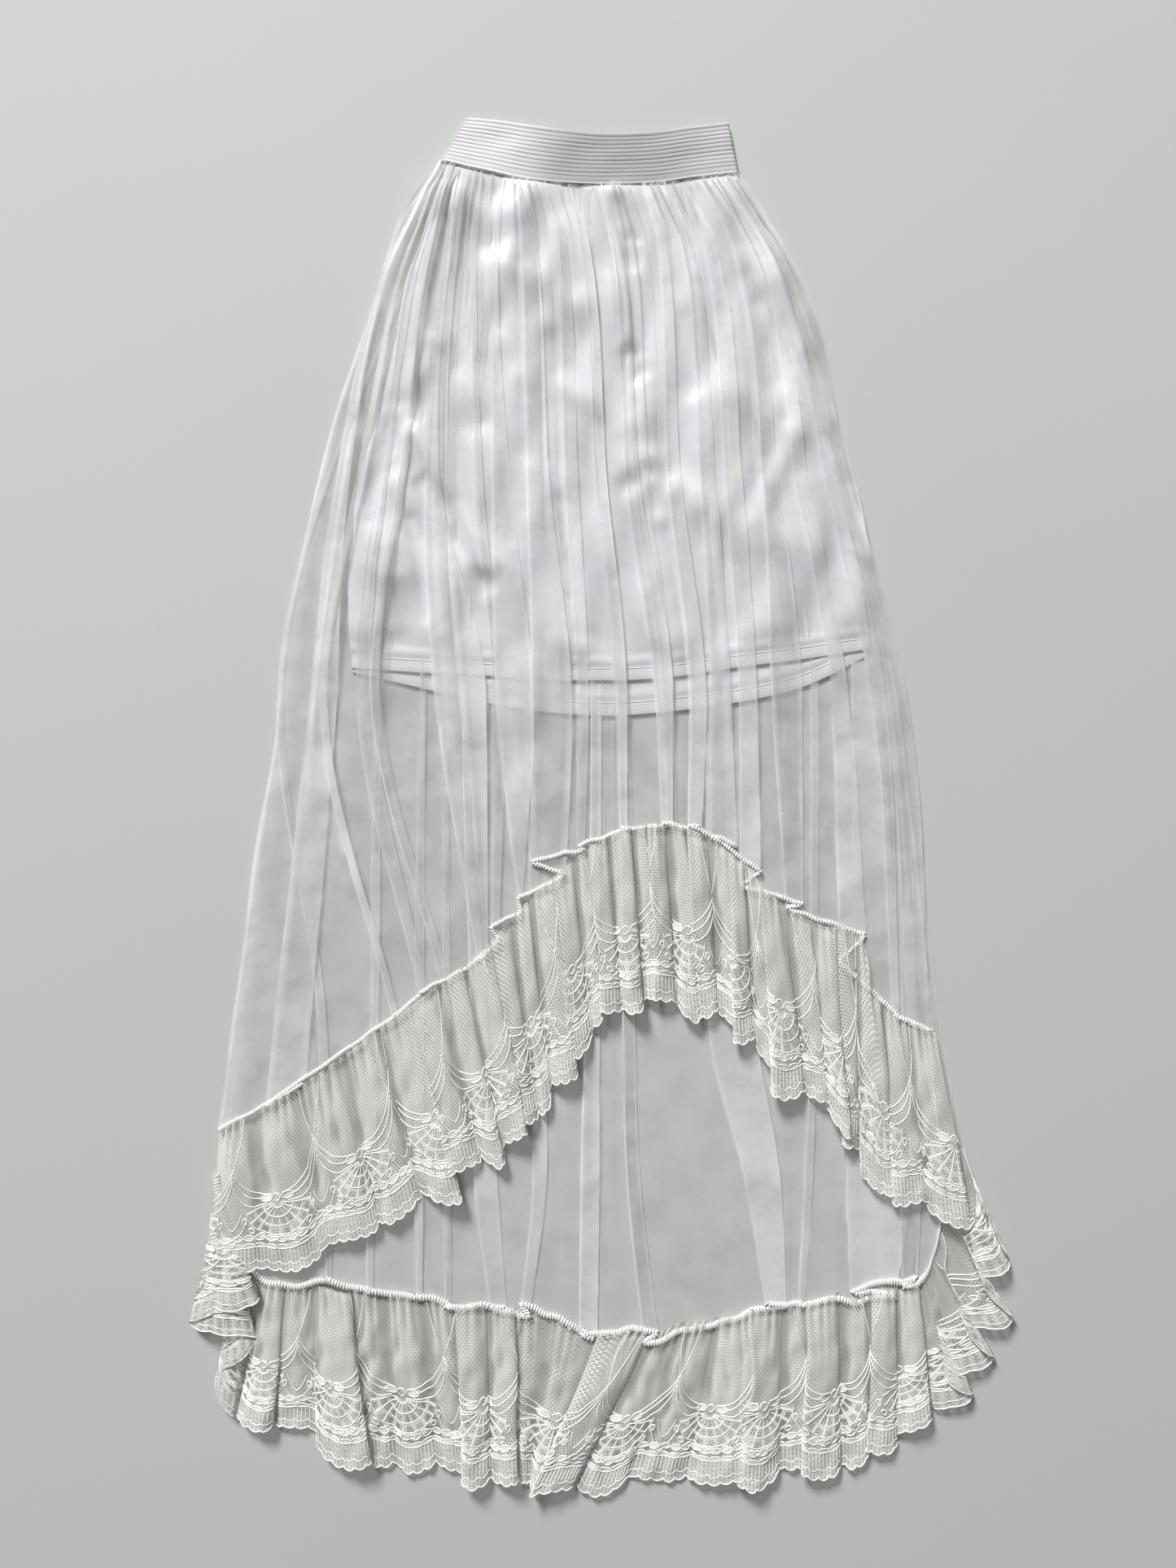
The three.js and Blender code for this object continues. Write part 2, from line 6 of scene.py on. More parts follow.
import bpy
import numpy as np
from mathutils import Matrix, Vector


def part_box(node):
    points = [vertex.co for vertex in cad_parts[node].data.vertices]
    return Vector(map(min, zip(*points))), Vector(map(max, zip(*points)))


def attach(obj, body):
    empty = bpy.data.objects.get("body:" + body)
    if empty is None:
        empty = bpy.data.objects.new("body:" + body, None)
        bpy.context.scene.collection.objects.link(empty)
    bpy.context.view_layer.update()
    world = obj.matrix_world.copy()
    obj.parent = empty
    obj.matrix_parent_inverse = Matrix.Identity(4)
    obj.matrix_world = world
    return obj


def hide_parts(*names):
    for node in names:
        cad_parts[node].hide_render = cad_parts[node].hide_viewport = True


bl_info = {
    "name": "Lace skirt",
    "version": (1, 0, 0),
    "blender": (4, 5, 0),
    "location": "3D View > Sidebar > Lace skirt",
    "description": "Builds a sheer net skirt with a lace ruffle, laid flat",
    "category": "Add Mesh",
}

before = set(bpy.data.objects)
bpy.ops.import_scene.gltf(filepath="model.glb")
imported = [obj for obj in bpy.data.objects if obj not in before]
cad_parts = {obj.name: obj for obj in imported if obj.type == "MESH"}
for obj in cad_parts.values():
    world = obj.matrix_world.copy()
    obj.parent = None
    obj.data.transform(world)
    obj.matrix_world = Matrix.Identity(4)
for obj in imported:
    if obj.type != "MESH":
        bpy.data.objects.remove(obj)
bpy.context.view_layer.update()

# Sizes in the tables are millimetres, in the plan the solids were drawn in: X across, Y to the waist.
BAND_RIGHT, BAND_TOP = 109.0, 545.0
LACE_REPEAT = 79.0
LACE_DEPTH = 138.0
BAND_DEPTH = 50.0

WAIST = [(-130, 510), (-100, 503), (-60, 495), (-10, 491), (40, 492), (80, 497), (109, 500)]
WAIST_TOP = [(-109, 545), (-80, 542), (-45, 537), (0, 532.5), (40, 533.5), (75, 538), (101, 541)]
OUTLINE = [
    (508, -131, 109), (479, -156, 129), (424, -176, 149), (378, -190, 163), (317, -211, 183),
    (252, -228, 203), (187, -242, 214), (122, -254, 229), (57, -260, 239), (-47, -278, 254),
    (-112, -286, 262), (-183, -296, 272), (-224, -301, 279), (-261, -306, 281), (-290, -308, 279),
    (-317, -307, 274), (-340, -302, 269), (-363, -289, 263), (-386, -270, 252),
]
LINING_SIDE = [
    (500, -127, 107), (453, -144, 131), (382, -164, 156), (317, -177, 172), (226, -199, 197),
    (148, -202, 209), (100, -200, 213),
]
LINING_HEM = [
    (-200, 108, 105), (-140, 104, 91), (-97, 102, 81), (-34, 98, 72), (7, 98, 70), (49, 100, 73),
    (104, 108, 80), (160, 115, 93), (213, 123, 118),
]
SEAM_FRONT = [
    (-306, -261), (-270, -240), (-234, -220), (-202, -197), (-169, -172), (-127, -142), (-91, -112),
    (-65, -83), (-28, -49), (6, -25), (39, -16), (78, -24), (107, -44), (136, -74), (172, -104),
    (195, -133), (228, -162), (265, -182),
]
HEM_FRONT = [
    (-315, -372), (-266, -370), (-221, -363), (-188, -338), (-143, -318), (-104, -292), (-62, -259),
    (-26, -210), (3, -170), (39, -158), (72, -163), (107, -178), (146, -224), (182, -244),
    (205, -294), (247, -318), (289, -337),
]
SEAM_BACK = [
    (-270, -384), (-221, -386), (-169, -391), (-117, -397), (-65, -403), (-25, -415), (20, -420),
    (60, -415), (104, -406), (143, -401), (202, -390), (252, -384),
]
HEM_BACK = [
    (-291, -486), (-237, -500), (-208, -516), (-136, -528), (-78, -536), (-42, -544), (0, -541),
    (72, -536), (150, -530), (202, -523), (231, -509), (260, -480),
]
SIDE_LEFT = [
    (-308, -298, -319, -393), (-307, -308, -272, -391), (-305, -320, -328, -415),
    (-300, -338, -274, -426), (-289, -362, -306, -452), (-273, -383, -292, -484),
]
SIDE_RIGHT = [
    (254, -383, 262, -480), (258, -377, 293, -467), (261, -370, 270, -452), (264, -361, 313, -443),
    (267, -350, 288, -418), (271, -330, 327, -409), (271, -300, 298, -374), (268, -262, 322, -362),
    (262, -205, 309, -338),
]

# Flutes: x at the seam, x at the lace edge, height, how far the sides tuck under, lean to one side.
FLUTES_FRONT = [
    (-292, -294, 5, 0.16, -0.1), (-262, -246, 4, 0.08, 0.1), (-222, -200, 4, 0.12, 0.1),
    (-189, -156, 5, 0.2, -0.2), (-168, -131, 9, 0.34, 1.0), (-142, -104, 9, 0.3, -0.8),
    (-119, -88, 6, 0.2, 0.5), (-100, -70, 10, 0.36, 1.0), (-80, -55, 7, 0.3, -0.6),
    (-66, -48, 5, 0.2, 0.5), (-50, -34, 10, 0.36, 1.0), (-30, -12, 8, 0.3, -1.0),
    (-17, -4, 5, 0.2, 0.4), (-4, 8, 9, 0.3, -1.0), (14, 24, 10, 0.38, 0.3), (30, 39, 5, 0.2, 0.6),
    (42, 50, 9, 0.34, -1.0), (58, 68, 6, 0.2, 0.9), (75, 84, 9, 0.34, -0.5), (93, 100, 6, 0.3, 0.9),
    (107, 114, 10, 0.38, -0.9), (119, 127, 5, 0.24, 0.5), (133, 150, 10, 0.38, -1.0),
    (155, 172, 6, 0.24, 0.7), (175, 185, 10, 0.38, 1.0), (192, 197, 6, 0.24, -0.6),
    (210, 214, 8, 0.3, 0.9), (231, 244, 5, 0.2, -0.4), (254, 274, 7, 0.34, 0.5),
]
FLUTES_BACK = [
    (-262, -278, 8, 0.3, 0.6), (-243, -248, 4, 0.16, -0.2), (-216, -206, 11, 0.4, 1.0),
    (-188, -180, 2.5, 0.08, 0.1), (-160, -148, 3.5, 0.12, -0.1), (-130, -116, 3, 0.1, 0.2),
    (-103, -98, 10, 0.38, -0.9), (-81, -78, 10, 0.38, 0.9), (-60, -62, 3, 0.12, -0.1),
    (-30, -54, 3, 0.12, 0.1), (30, -43, 11, 0.4, -1.0), (52, -4, 3, 0.1, 0.1), (78, 46, 3, 0.12, -0.1),
    (104, 92, 10, 0.38, 1.0), (132, 128, 10, 0.38, -0.9), (154, 152, 4, 0.2, 0.4),
    (174, 177, 10, 0.38, -1.0), (202, 202, 4, 0.16, 0.2), (226, 224, 9, 0.34, -0.8),
    (243, 246, 8, 0.36, 0.5),
]

# Pressed folds of the net. Each has its x at the waist, then x and width at three heights, then the
# two points where its edges meet the hem seam.
FOLD_HEIGHTS = (446.5, 251.5, 89.0)
FRONT_FOLDS = [
    (-126.8, -161.2, 2.6, -206.7, 7.8, -221, 14.3, -236, -222, -268, -241),
    (-125.5, -152.1, 2, -195, 3.2, -223, 3.9, -163.8, -167.7, -168.3, -171),
    (-122.2, -143, 2, -175.5, 3.9, -191.1, 7.8, -140.4, -146.9, -146.9, -151.5),
    (-117, -133.2, 2.6, -159.2, 4.5, -180.1, 5.9, -122.9, -140.4, -128.1, -143.7),
    (-113.1, -122.2, 3.2, -134.6, 9.1, -113.1, 28.6, -91, -119, -98.8, -125.5),
    (-93.6, -100.8, 3.2, -97.5, 4.5, -83.2, 5.9, -81.9, -109.2, -89, -98.2),
    (-76.7, -83.2, 3.9, -79.3, 10.4, -69.5, 20.8, -64.4, -87.8, -67, -75.4),
    (-65, -57.2, 8.5, -49.4, 13, -39, 22.1, -27.9, -57.2, -56.6, -46.1),
    (-46.8, -32.5, 4.5, -24.7, 7.8, -15.6, 6.5, -14.3, -37.1, -20.2, -34.5),
    (-26, -14.3, 4.5, 0, 5.9, 14.3, 7.2, 20.2, -20.2, 13.7, -20.8),
    (-2, 9.1, 4.5, 23.4, 7.8, 48.1, 10.4, 55.9, -17.6, 46.8, -16.2),
    (32.5, 46.8, 5.2, 57.2, 7.8, 76, 9.1, 79.3, -20.2, 68.2, -17.6),
    (46.8, 65, 5.9, 83.2, 9.1, 93.6, 11.7, 107.2, -34.5, 85.8, -26),
    (63.7, 85.8, 6.5, 104.7, 10.4, 115.7, 10.4, 126.8, -54.6, 109.9, -65),
    (79.3, 107.2, 7.2, 133.2, 9.1, 146.2, 16.9, 159.9, -80.6, 145.6, -83.2),
    (91, 122.2, 5.9, 159.2, 7.8, 188.5, 9.8, 210.6, -105.3, 187.8, -125.5),
    (98.8, 132.6, 4.5, 182, 6.5, 218.4, 8.5, 236.6, -170.3, 230.8, -167.7),
    (103, 140, 2.6, 192, 7.8, 232, 13, 261, -180.5, 243, -174),
]
FOLD_HEIGHTS_BACK = (89.0, -171.0, -301.0)
BACK_FOLDS = [
    (-122.2, -256.8, 3.2, -223.6, 4.5, -219.7, 4.5, -215.8, -382.2, -220.3, -380.9),
    (-110.5, -175.5, 3.2, -180.7, 4.5, -184, 4.5, -182.7, -390, -187.2, -388.7),
    (-100.8, -143, 3.2, -145.6, 4.5, -146.2, 4.5, -143.7, -393.2, -148.2, -391.9),
    (-94.2, -124.8, 3.2, -124.2, 3.9, -123.5, 3.9, -120.9, -398.4, -125.5, -399.8),
    (-85.8, -106, 4.5, -97.5, 9.1, -92.3, 13, -76, -401.1, -89.7, -399.1),
    (-65, -58.5, 4.5, -52, 5.9, -50.1, 7.8, -57.9, -410.2, -65, -398.4),
    (-32.5, -5.2, 5.9, -7.8, 7.8, -9.8, 10.4, -3.9, -426.4, -18.2, -423.2),
    (-9.8, 16.9, 5.9, 20.8, 7.2, 24.7, 7.8, 44.2, -419.2, 32.5, -429.7),
    (39, 91, 13, 102, 24.7, 128.1, 19.5, 146.9, -398.4, 130, -399.8),
    (71.5, 169, 4.5, 167.7, 4.5, 164.5, 4.5, 161.2, -398.4, 156.7, -399.8),
    (84.5, 208, 13, 217.8, 26, 220.3, 36.4, 234, -393.2, 197.6, -387.4),
    (94.2, 228.8, 5.2, 243.1, 9.1, 244.4, 13, 250.9, -377.7, 237.9, -382.2),
]

# Soft ridges and troughs of the front lining: from, to, height, spread.
LINING_FOLDS = [
    (-148.2, 293.8, -89.7, 189.8, 7, 6.5),
    (-141.7, 251.6, -92.3, 172.2, -6, 5.9),
    (-152.8, 225.6, -139.8, 147.6, -3, 3.2),
    (-133.2, 365.3, -148.2, 330.9, 4, 7.2),
    (-164.5, 316.6, -167.7, 287.3, -4, 7.2),
    (-117, 355.6, -107.2, 303.6, -3, 8.5),
    (-36.4, 453.1, -44.2, 381.6, 5, 9.1),
    (-65, 427.1, -83.2, 381.6, -3, 7.8),
    (-92.3, 495.3, -87.1, 446.6, -4, 7.8),
    (-59.8, 485.6, -74.8, 427.1, 3, 7.8),
    (23.4, 446.6, 24.7, 430.3, -4, 5.9),
    (7.8, 414.1, 16.9, 362.1, 3, 6.5),
    (22.8, 355.6, 24.7, 341.2, -5, 6.5),
    (32.5, 329.6, 40.3, 277.6, 5, 8.5),
    (35.8, 262.6, 19.5, 251.6, -5, 6.5),
    (58.5, 251.6, 46.8, 225.6, 3, 5.9),
    (-26, 258.1, -11.7, 144.3, 3, 6.5),
    (-33.8, 238.6, -18.2, 134.6, -3, 5.9),
    (0, 495.3, 19.5, 479.1, 3, 7.8),
    (107.2, 446.6, 123.5, 414.1, 3, 7.8),
    (133.2, 423.8, 159.2, 362.1, 3, 7.2),
    (123.5, 394.6, 136.5, 336.1, -2.5, 7.2),
    (152.8, 290.6, 123.5, 225.6, 3, 7.2),
    (143, 303.6, 120.2, 251.6, -2.5, 6.5),
    (78, 316.6, 107.2, 251.6, 2.5, 8.5),
    (100.8, 225.6, 91, 147.6, -2.5, 7.8),
    (162.5, 251.6, 176.8, 173.6, 2.5, 7.2),
    (-191.8, 225.6, -165.8, 141.1, 3, 7.8),
    (-175.5, 277.6, -185.2, 225.6, -3, 6.5),
    (-65, 336.1, -59.8, 225.6, 2.5, 10.4),
    (-55.2, 186.6, -52, 121.5, -2, 7.8),
    (13, 186.6, 39, 128.1, 2, 9.1),
    (-126.8, 479.1, -143, 427.1, 2.5, 8.5),
    (-117, 238.6, -110.5, 134.6, -2, 5.9),
    (65, 381.6, 71.5, 329.6, -2.5, 8.5),
    (-91, 303.6, -65, 277.6, -2.5, 8.5),
    (-161, 253, -104, 192, 4.5, 9),
    (-180, 192, -98, 178, 6, 17),
    (-122, 480, -72, 470, 5, 12),
    (42, 262, 88, 232, 5.5, 13),
    (108, 214, 166, 204, 4.5, 14),
    (-30, 330, 20, 300, 3.5, 9),
    (-60, 420, -20, 395, 4, 11),
    (90, 330, 150, 300, 4, 13),
]


class SkirtLook(bpy.types.PropertyGroup):
    """Colours of the cloth and of the board it lies on."""

    net: bpy.props.FloatVectorProperty(
        name="Net", description="Colour of the net threads", subtype="COLOR", size=3,
        default=(0.975, 0.975, 0.965), min=0, max=1)
    net_cover: bpy.props.FloatProperty(
        name="Net cover", description="How much of one layer of net is thread", default=0.2,
        min=0.05, max=0.9, subtype="FACTOR")
    jersey: bpy.props.FloatVectorProperty(
        name="Lining", description="Colour of the satin jersey lining", subtype="COLOR", size=3,
        default=(0.765, 0.77, 0.80), min=0, max=1)
    elastic: bpy.props.FloatVectorProperty(
        name="Elastic", description="Colour of the ribbed elastic", subtype="COLOR", size=3,
        default=(0.40, 0.385, 0.40), min=0, max=1)
    lace: bpy.props.FloatVectorProperty(
        name="Lace", description="Colour of the lace threads", subtype="COLOR", size=3,
        default=(0.78, 0.77, 0.73), min=0, max=1)
    lace_cord: bpy.props.FloatVectorProperty(
        name="Lace cord", description="Colour of the cords and close-worked parts of the lace",
        subtype="COLOR", size=3, default=(0.975, 0.97, 0.945), min=0, max=1)
    lace_cover: bpy.props.FloatProperty(
        name="Lace cover", description="How much of a thread of the lace ground covers what is under it",
        default=0.74, min=0.1, max=0.9, subtype="FACTOR")
    seam: bpy.props.FloatVectorProperty(
        name="Seam", description="Colour of the rolled seam and sewing thread", subtype="COLOR", size=3,
        default=(0.86, 0.86, 0.85), min=0, max=1)
    board: bpy.props.FloatVectorProperty(
        name="Board", description="Colour of the board under the skirt", subtype="COLOR", size=3,
        default=(0.60, 0.615, 0.595), min=0, max=1)


class SkirtSize(bpy.types.PropertyGroup):
    """Sizes a user may change without moving the pieces."""

    gathers: bpy.props.IntProperty(
        name="Waist gathers", description="Gathers of each net panel at the waist", default=34,
        min=10, max=80)
    gather_height: bpy.props.FloatProperty(
        name="Gather height", description="Height of the gathers at the waist", default=0.0042,
        min=0.0005, max=0.005, unit="LENGTH", subtype="DISTANCE")
    tulle_pitch: bpy.props.FloatProperty(
        name="Net mesh", description="Distance between holes of the net", default=0.0013,
        min=0.0008, max=0.004, unit="LENGTH", subtype="DISTANCE")
    lace_pitch: bpy.props.FloatProperty(
        name="Lace mesh", description="Distance between holes of the lace ground", default=0.0024,
        min=0.001, max=0.004, unit="LENGTH", subtype="DISTANCE")
    ribs: bpy.props.IntProperty(
        name="Ribs", description="Ribs across the elastic", default=13, min=4, max=24)


def settings():
    """The two property groups of the current scene."""
    scene = bpy.context.scene
    return scene.skirt_look, scene.skirt_size


# Numbers


def smooth(a, b, x):
    t = np.clip((np.asarray(x, float) - a) / (b - a), 0, 1)
    return t * t * (3 - 2 * t)


def lerp(a, b, t):
    return a + (b - a) * t


def hill(x, width):
    """A smooth bump round 0, 1 at its top."""
    return np.exp(-(x / width) ** 2)


def run_of(points):
    """Length along a line of points, from its first point to each one."""
    return np.concatenate([[0], np.cumsum(np.linalg.norm(np.diff(points, axis=0), axis=1))])


def uneven(seed, low, high, count):
    """Random numbers that are the same at every run."""
    return np.random.default_rng(seed).uniform(low, high, count)


# Steepest slope of a curve at a table row, as a share of the slope to the next row.
STEEPEST = 2.6


def curve(rows, column=1):
    """A smooth function through one column of a table, by its first column."""
    data = np.array([[row[0], row[column]] for row in rows], float)
    data = data[np.argsort(data[:, 0])]
    x, y = data[:, 0], data[:, 1]
    width = np.diff(x)
    rise = np.diff(y) / width
    slope = np.gradient(y, x)
    for k, r in enumerate(rise):
        for j in (k, k + 1):
            most = STEEPEST * abs(r) if abs(r) > 1e-9 else 0
            slope[j] = np.clip(slope[j], -most, most)

    def at(place):
        place = np.clip(np.asarray(place, float), x[0], x[-1])
        k = np.clip(np.searchsorted(x, place) - 1, 0, len(x) - 2)
        t = (place - x[k]) / width[k]
        s0, s1 = slope[k] * width[k], slope[k + 1] * width[k]
        d = rise[k] * width[k]
        return y[k] + t * s0 + t * t * (3 * d - 2 * s0 - s1) + t ** 3 * (s0 + s1 - 2 * d)

    return at


def waves(x, y, seed, size):
    """Soft uneven waves between about -1 and 1, the same at every run."""
    rng = np.random.default_rng(seed)
    total = 0
    for k in range(6):
        a = rng.uniform(0, 2 * math.pi)
        f = rng.uniform(0.6, 1.6) * 2 * math.pi / size
        total = total + np.sin((np.cos(a) * x + np.sin(a) * y) * f + rng.uniform(0, 7))
    return total / 3


def shift():
    """From the plan of the tables to the row frame, in millimetres."""
    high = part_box("waistband")[1]
    return np.array([high[0] * 1000 - BAND_RIGHT, high[1] * 1000 - BAND_TOP, 0])


SHIFT = shift()

waist_y = curve(WAIST)
waist_top_y = curve(WAIST_TOP)
left_x = curve(OUTLINE, 1)
right_x = curve(OUTLINE, 2)
lining_left = curve(LINING_SIDE, 1)
lining_right = curve(LINING_SIDE, 2)
lining_front_y = curve(LINING_HEM, 1)
lining_back_y = curve(LINING_HEM, 2)
seam_back_y = curve(SEAM_BACK)
hem_front_y = curve(HEM_FRONT)
hem_back_y = curve(HEM_BACK)

# Heights the layers lie at.
LINING_BACK_Z = 1.4
LINING_FRONT_Z = 3.2


def lining_height(x, y):
    """Top of the front lining: its listed creases and soft waves, over the level it lies at. It is
    flat at the waist and at the hem."""
    total = 0
    for x1, y1, x2, y2, height, spread in LINING_FOLDS:
        dx, dy = x2 - x1, y2 - y1
        t = np.clip(((x - x1) * dx + (y - y1) * dy) / (dx * dx + dy * dy), 0, 1)
        along = 1 - 0.35 * np.cos(2 * math.pi * t + x1)
        away = np.hypot(x - x1 - t * dx, y - y1 - t * dy)
        total = total + 0.75 * height * along * hill(away, 1.25 * spread)
    total = total + 2.6 * waves(x, y * 0.8, 3, 58) + 0.2 * waves(x, y * 0.5, 4, 26)
    fade = smooth(505, 480, y) * smooth(0, 26, y - lining_front_y(x) - 8)
    return LINING_FRONT_Z + 0.8 + np.clip(total + 1.6, -1.2, 8) * fade * 0.85


def over_lining(x, y):
    """Share of the lining's height that lifts the net at a place: 1 over the lining, 0 well outside."""
    inside = np.minimum(np.minimum(x - lining_left(y), lining_right(y) - x), y - lining_back_y(x))
    return smooth(-34, -3, inside)


# Meshes


def linked(name, data):
    """A new object at the origin, in the scene."""
    obj = bpy.data.objects.new(name, data)
    bpy.context.scene.collection.objects.link(obj)
    return obj


def in_frame(points):
    """Places in the row frame, in metres, from places in the plan in millimetres."""
    return (np.asarray(points, float) + SHIFT) / 1000


def mesh_object(name, points, faces, uv=None, values=None, material=None):
    """A mesh object from points in millimetres. faces is an array of quads."""
    mesh = bpy.data.meshes.new(name)
    faces = np.asarray(faces, np.int32)
    mesh.vertices.add(len(points))
    mesh.vertices.foreach_set("co", in_frame(points).astype(np.float32).ravel())
    mesh.loops.add(faces.size)
    mesh.loops.foreach_set("vertex_index", faces.ravel())
    mesh.polygons.add(len(faces))
    mesh.polygons.foreach_set("loop_start", np.arange(0, faces.size, 4, dtype=np.int32))
    mesh.polygons.foreach_set("use_smooth", np.full(len(faces), True))
    if uv is not None:
        layer = mesh.uv_layers.new(name="cloth")
        layer.data.foreach_set("uv", (uv / 1000)[faces.ravel()].astype(np.float32).ravel())
    for key, value in (values or {}).items():
        layer = mesh.attributes.new(key, "FLOAT", "POINT")
        layer.data.foreach_set("value", np.asarray(value, np.float32).ravel())
    mesh.materials.append(material)
    mesh.update(calc_edges=True)
    mesh.validate()
    return linked(name, mesh)


def grid_faces(rows, columns, closed=False):
    """Quads of a grid of rows by columns, facing up when columns run to +X and rows to -Y."""
    r, c = np.meshgrid(np.arange(rows - 1), np.arange(columns if closed else columns - 1), indexing="ij")
    a = r * columns + c
    b = r * columns + (c + 1) % columns
    return np.stack([a, a + columns, b + columns, b], -1).reshape(-1, 4)


def cover_of(points):
    """How much denser a cloth looks from above where it stands on edge, 1 where it lies flat."""
    along = np.gradient(points, axis=1)
    down = np.gradient(points, axis=0)
    normal = np.cross(down, along)
    size = np.linalg.norm(normal, axis=-1) + 1e-9
    return np.clip(1 / np.maximum(np.abs(normal[..., 2]) / size, 0.25), 1, 4)


def flat_places(across, down):
    """Flat coordinates of each point of a grid, from its place across and its row's place down."""
    return np.stack(np.broadcast_arrays(across, -down[:, None]), -1).reshape(-1, 2)


def stand_for(obj, node):
    """Hangs a finished piece on the part's one body, in place of a solid if it has one."""
    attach(obj, "root")
    if node:
        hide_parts(node)
    return obj


# Materials


class Value:
    """A shader socket that takes part in Python expressions."""

    def __init__(self, tree, socket):
        self.tree = tree
        self.socket = socket

    def math(self, operation, *others):
        node = self.tree.nodes.new("ShaderNodeMath")
        node.operation = operation
        for k, item in enumerate(others):
            if isinstance(item, Value):
                self.tree.links.new(item.socket, node.inputs[k])
            else:
                node.inputs[k].default_value = float(item)
        return Value(self.tree, node.outputs[0])

    def clamp(self):
        return self.max(0).min(1)


def add_method(name, operation, swapped=False):
    def method(self, *other):
        return self.math(operation, *other, self) if swapped else self.math(operation, self, *other)

    setattr(Value, name, method)


for sign, operation in (("add", "ADD"), ("sub", "SUBTRACT"), ("mul", "MULTIPLY"), ("truediv", "DIVIDE")):
    add_method("__%s__" % sign, operation)
    add_method("__r%s__" % sign, operation, True)
for name, operation in (
        ("__pow__", "POWER"), ("fract", "FRACT"), ("sqrt", "SQRT"), ("abs", "ABSOLUTE"), ("cos", "COSINE"),
        ("sin", "SINE"), ("min", "MINIMUM"), ("max", "MAXIMUM"), ("angle", "ARCTAN2")):
    add_method(name, operation)


def tint(colour, factor=1.0):
    """A lighter or darker colour, with its fourth number."""
    return (*[min(1, c * factor) for c in colour], 1)


class Material:
    """A Principled material whose inputs are numbers, colours or Values."""

    def __init__(self, name):
        self.material = bpy.data.materials.new("skirt_" + name)
        self.material.use_nodes = True
        self.tree = self.material.node_tree
        self.shader = self.tree.nodes["Principled BSDF"]

    def node(self, kind, settings=None, inputs=None, output=0):
        """Any node: its type, its settings, its inputs by name or number; gives one output."""
        node = self.tree.nodes.new(kind)
        for key, value in (settings or {}).items():
            setattr(node, key, value)
        for key, value in (inputs or {}).items():
            self.feed(node.inputs[key], value)
        return Value(self.tree, node.outputs[output])

    def feed(self, socket, value):
        if isinstance(value, Value):
            self.tree.links.new(value.socket, socket)
        else:
            socket.default_value = value

    def cloth(self):
        """Flat coordinates of the cloth in millimetres: along and down."""
        uv = self.node("ShaderNodeUVMap", {"uv_map": "cloth"})
        along, down = [self.node("ShaderNodeSeparateXYZ", None, {0: uv}, k) for k in (0, 1)]
        return along * 1000, down * 1000

    def attribute(self, name):
        return self.node("ShaderNodeAttribute", {"attribute_name": name}, output=2)

    def ramp(self, value, low, high, to_low=0.0, to_high=1.0):
        return self.node(
            "ShaderNodeMapRange", {"interpolation_type": "SMOOTHSTEP", "clamp": True},
            {0: value, 1: low, 2: high, 3: to_low, 4: to_high})

    def noise(self, scale, detail=2.0, vector=None):
        place = vector or self.node("ShaderNodeTexCoord", output=3)
        return self.node("ShaderNodeTexNoise", None, {"Scale": scale, "Detail": detail, "Vector": place})

    def mix(self, factor, a, b):
        return self.node("ShaderNodeMix", {"data_type": "RGBA"}, {0: factor, 6: a, 7: b}, output=2)

    def bump(self, height, strength, distance):
        inputs = {"Height": height, "Strength": strength, "Distance": distance}
        return self.node("ShaderNodeBump", None, inputs)

    def finish(self, **inputs):
        for key, value in inputs.items():
            self.feed(self.shader.inputs[key.replace("_", " ").title()], value)
        return self.material


def net_threads(mat, u, v, pitch, hole, edge):
    """1 on the threads of a six-sided net and 0 in its holes."""
    tall = math.sqrt(3)
    far = []
    for move in (0.0, 0.5):
        dx = (u / pitch + move).fract() - 0.5
        dy = ((v / (pitch * tall) + move).fract() - 0.5) * tall
        far.append((dx * dx + dy * dy).sqrt())
    return mat.ramp(far[0].min(far[1]), hole - edge, hole + edge)


def net_material():
    """Net: threads that thicken where cloth is doubled, with soft clouds. Its colour carries painted
    shade:
    darker where one layer lies alone, and in soft patches that stand for the shade of crumples.
    """
    look, size = settings()
    mat = Material("net")
    u, v = mat.cloth()
    threads = net_threads(mat, u, v, size.tulle_pitch * 1000, 0.36, 0.07)
    cover = mat.attribute("cover")
    cloud = (mat.noise(24.0, 4.0) * 3.6 - 0.8).max(0.4).min(1.75)
    alpha = (cover * look.net_cover * (0.62 + 0.6 * threads) * cloud).min(0.9)
    # Painted shade: soft darker patches that stand in for the shade of crumples.
    crumple_shade = mat.ramp(mat.noise(40.0), 0.42, 0.6)
    # Painted shade: a single layer of net lying alone is darkened to 0.69 to 0.81 of the thread colour.
    flat = mat.mix(crumple_shade, tint(look.net, 0.69), tint(look.net, 0.81))
    # Painted shade: the darkened colour goes where the net lies in one layer. The full thread colour goes
    # where it is doubled, creased or on edge.
    tone = mat.mix(mat.ramp(cover, 1.05, 1.75), flat, tint(look.net))
    return mat.finish(base_color=tone, roughness=0.75, alpha=alpha)


def jersey_material():
    """Satin jersey: a fine knit with a soft sheen."""
    look, _ = settings()
    mat = Material("jersey")
    u, v = mat.cloth()
    knit = (u * 5.2).sin() * 0.5 + (v * 4.1).sin() * 0.5
    height = knit * 0.15 + mat.noise(9.0)
    return mat.finish(
        base_color=tint(look.jersey), roughness=0.46, normal=mat.bump(height, 0.25, 0.0008),
        coat_weight=0.1)


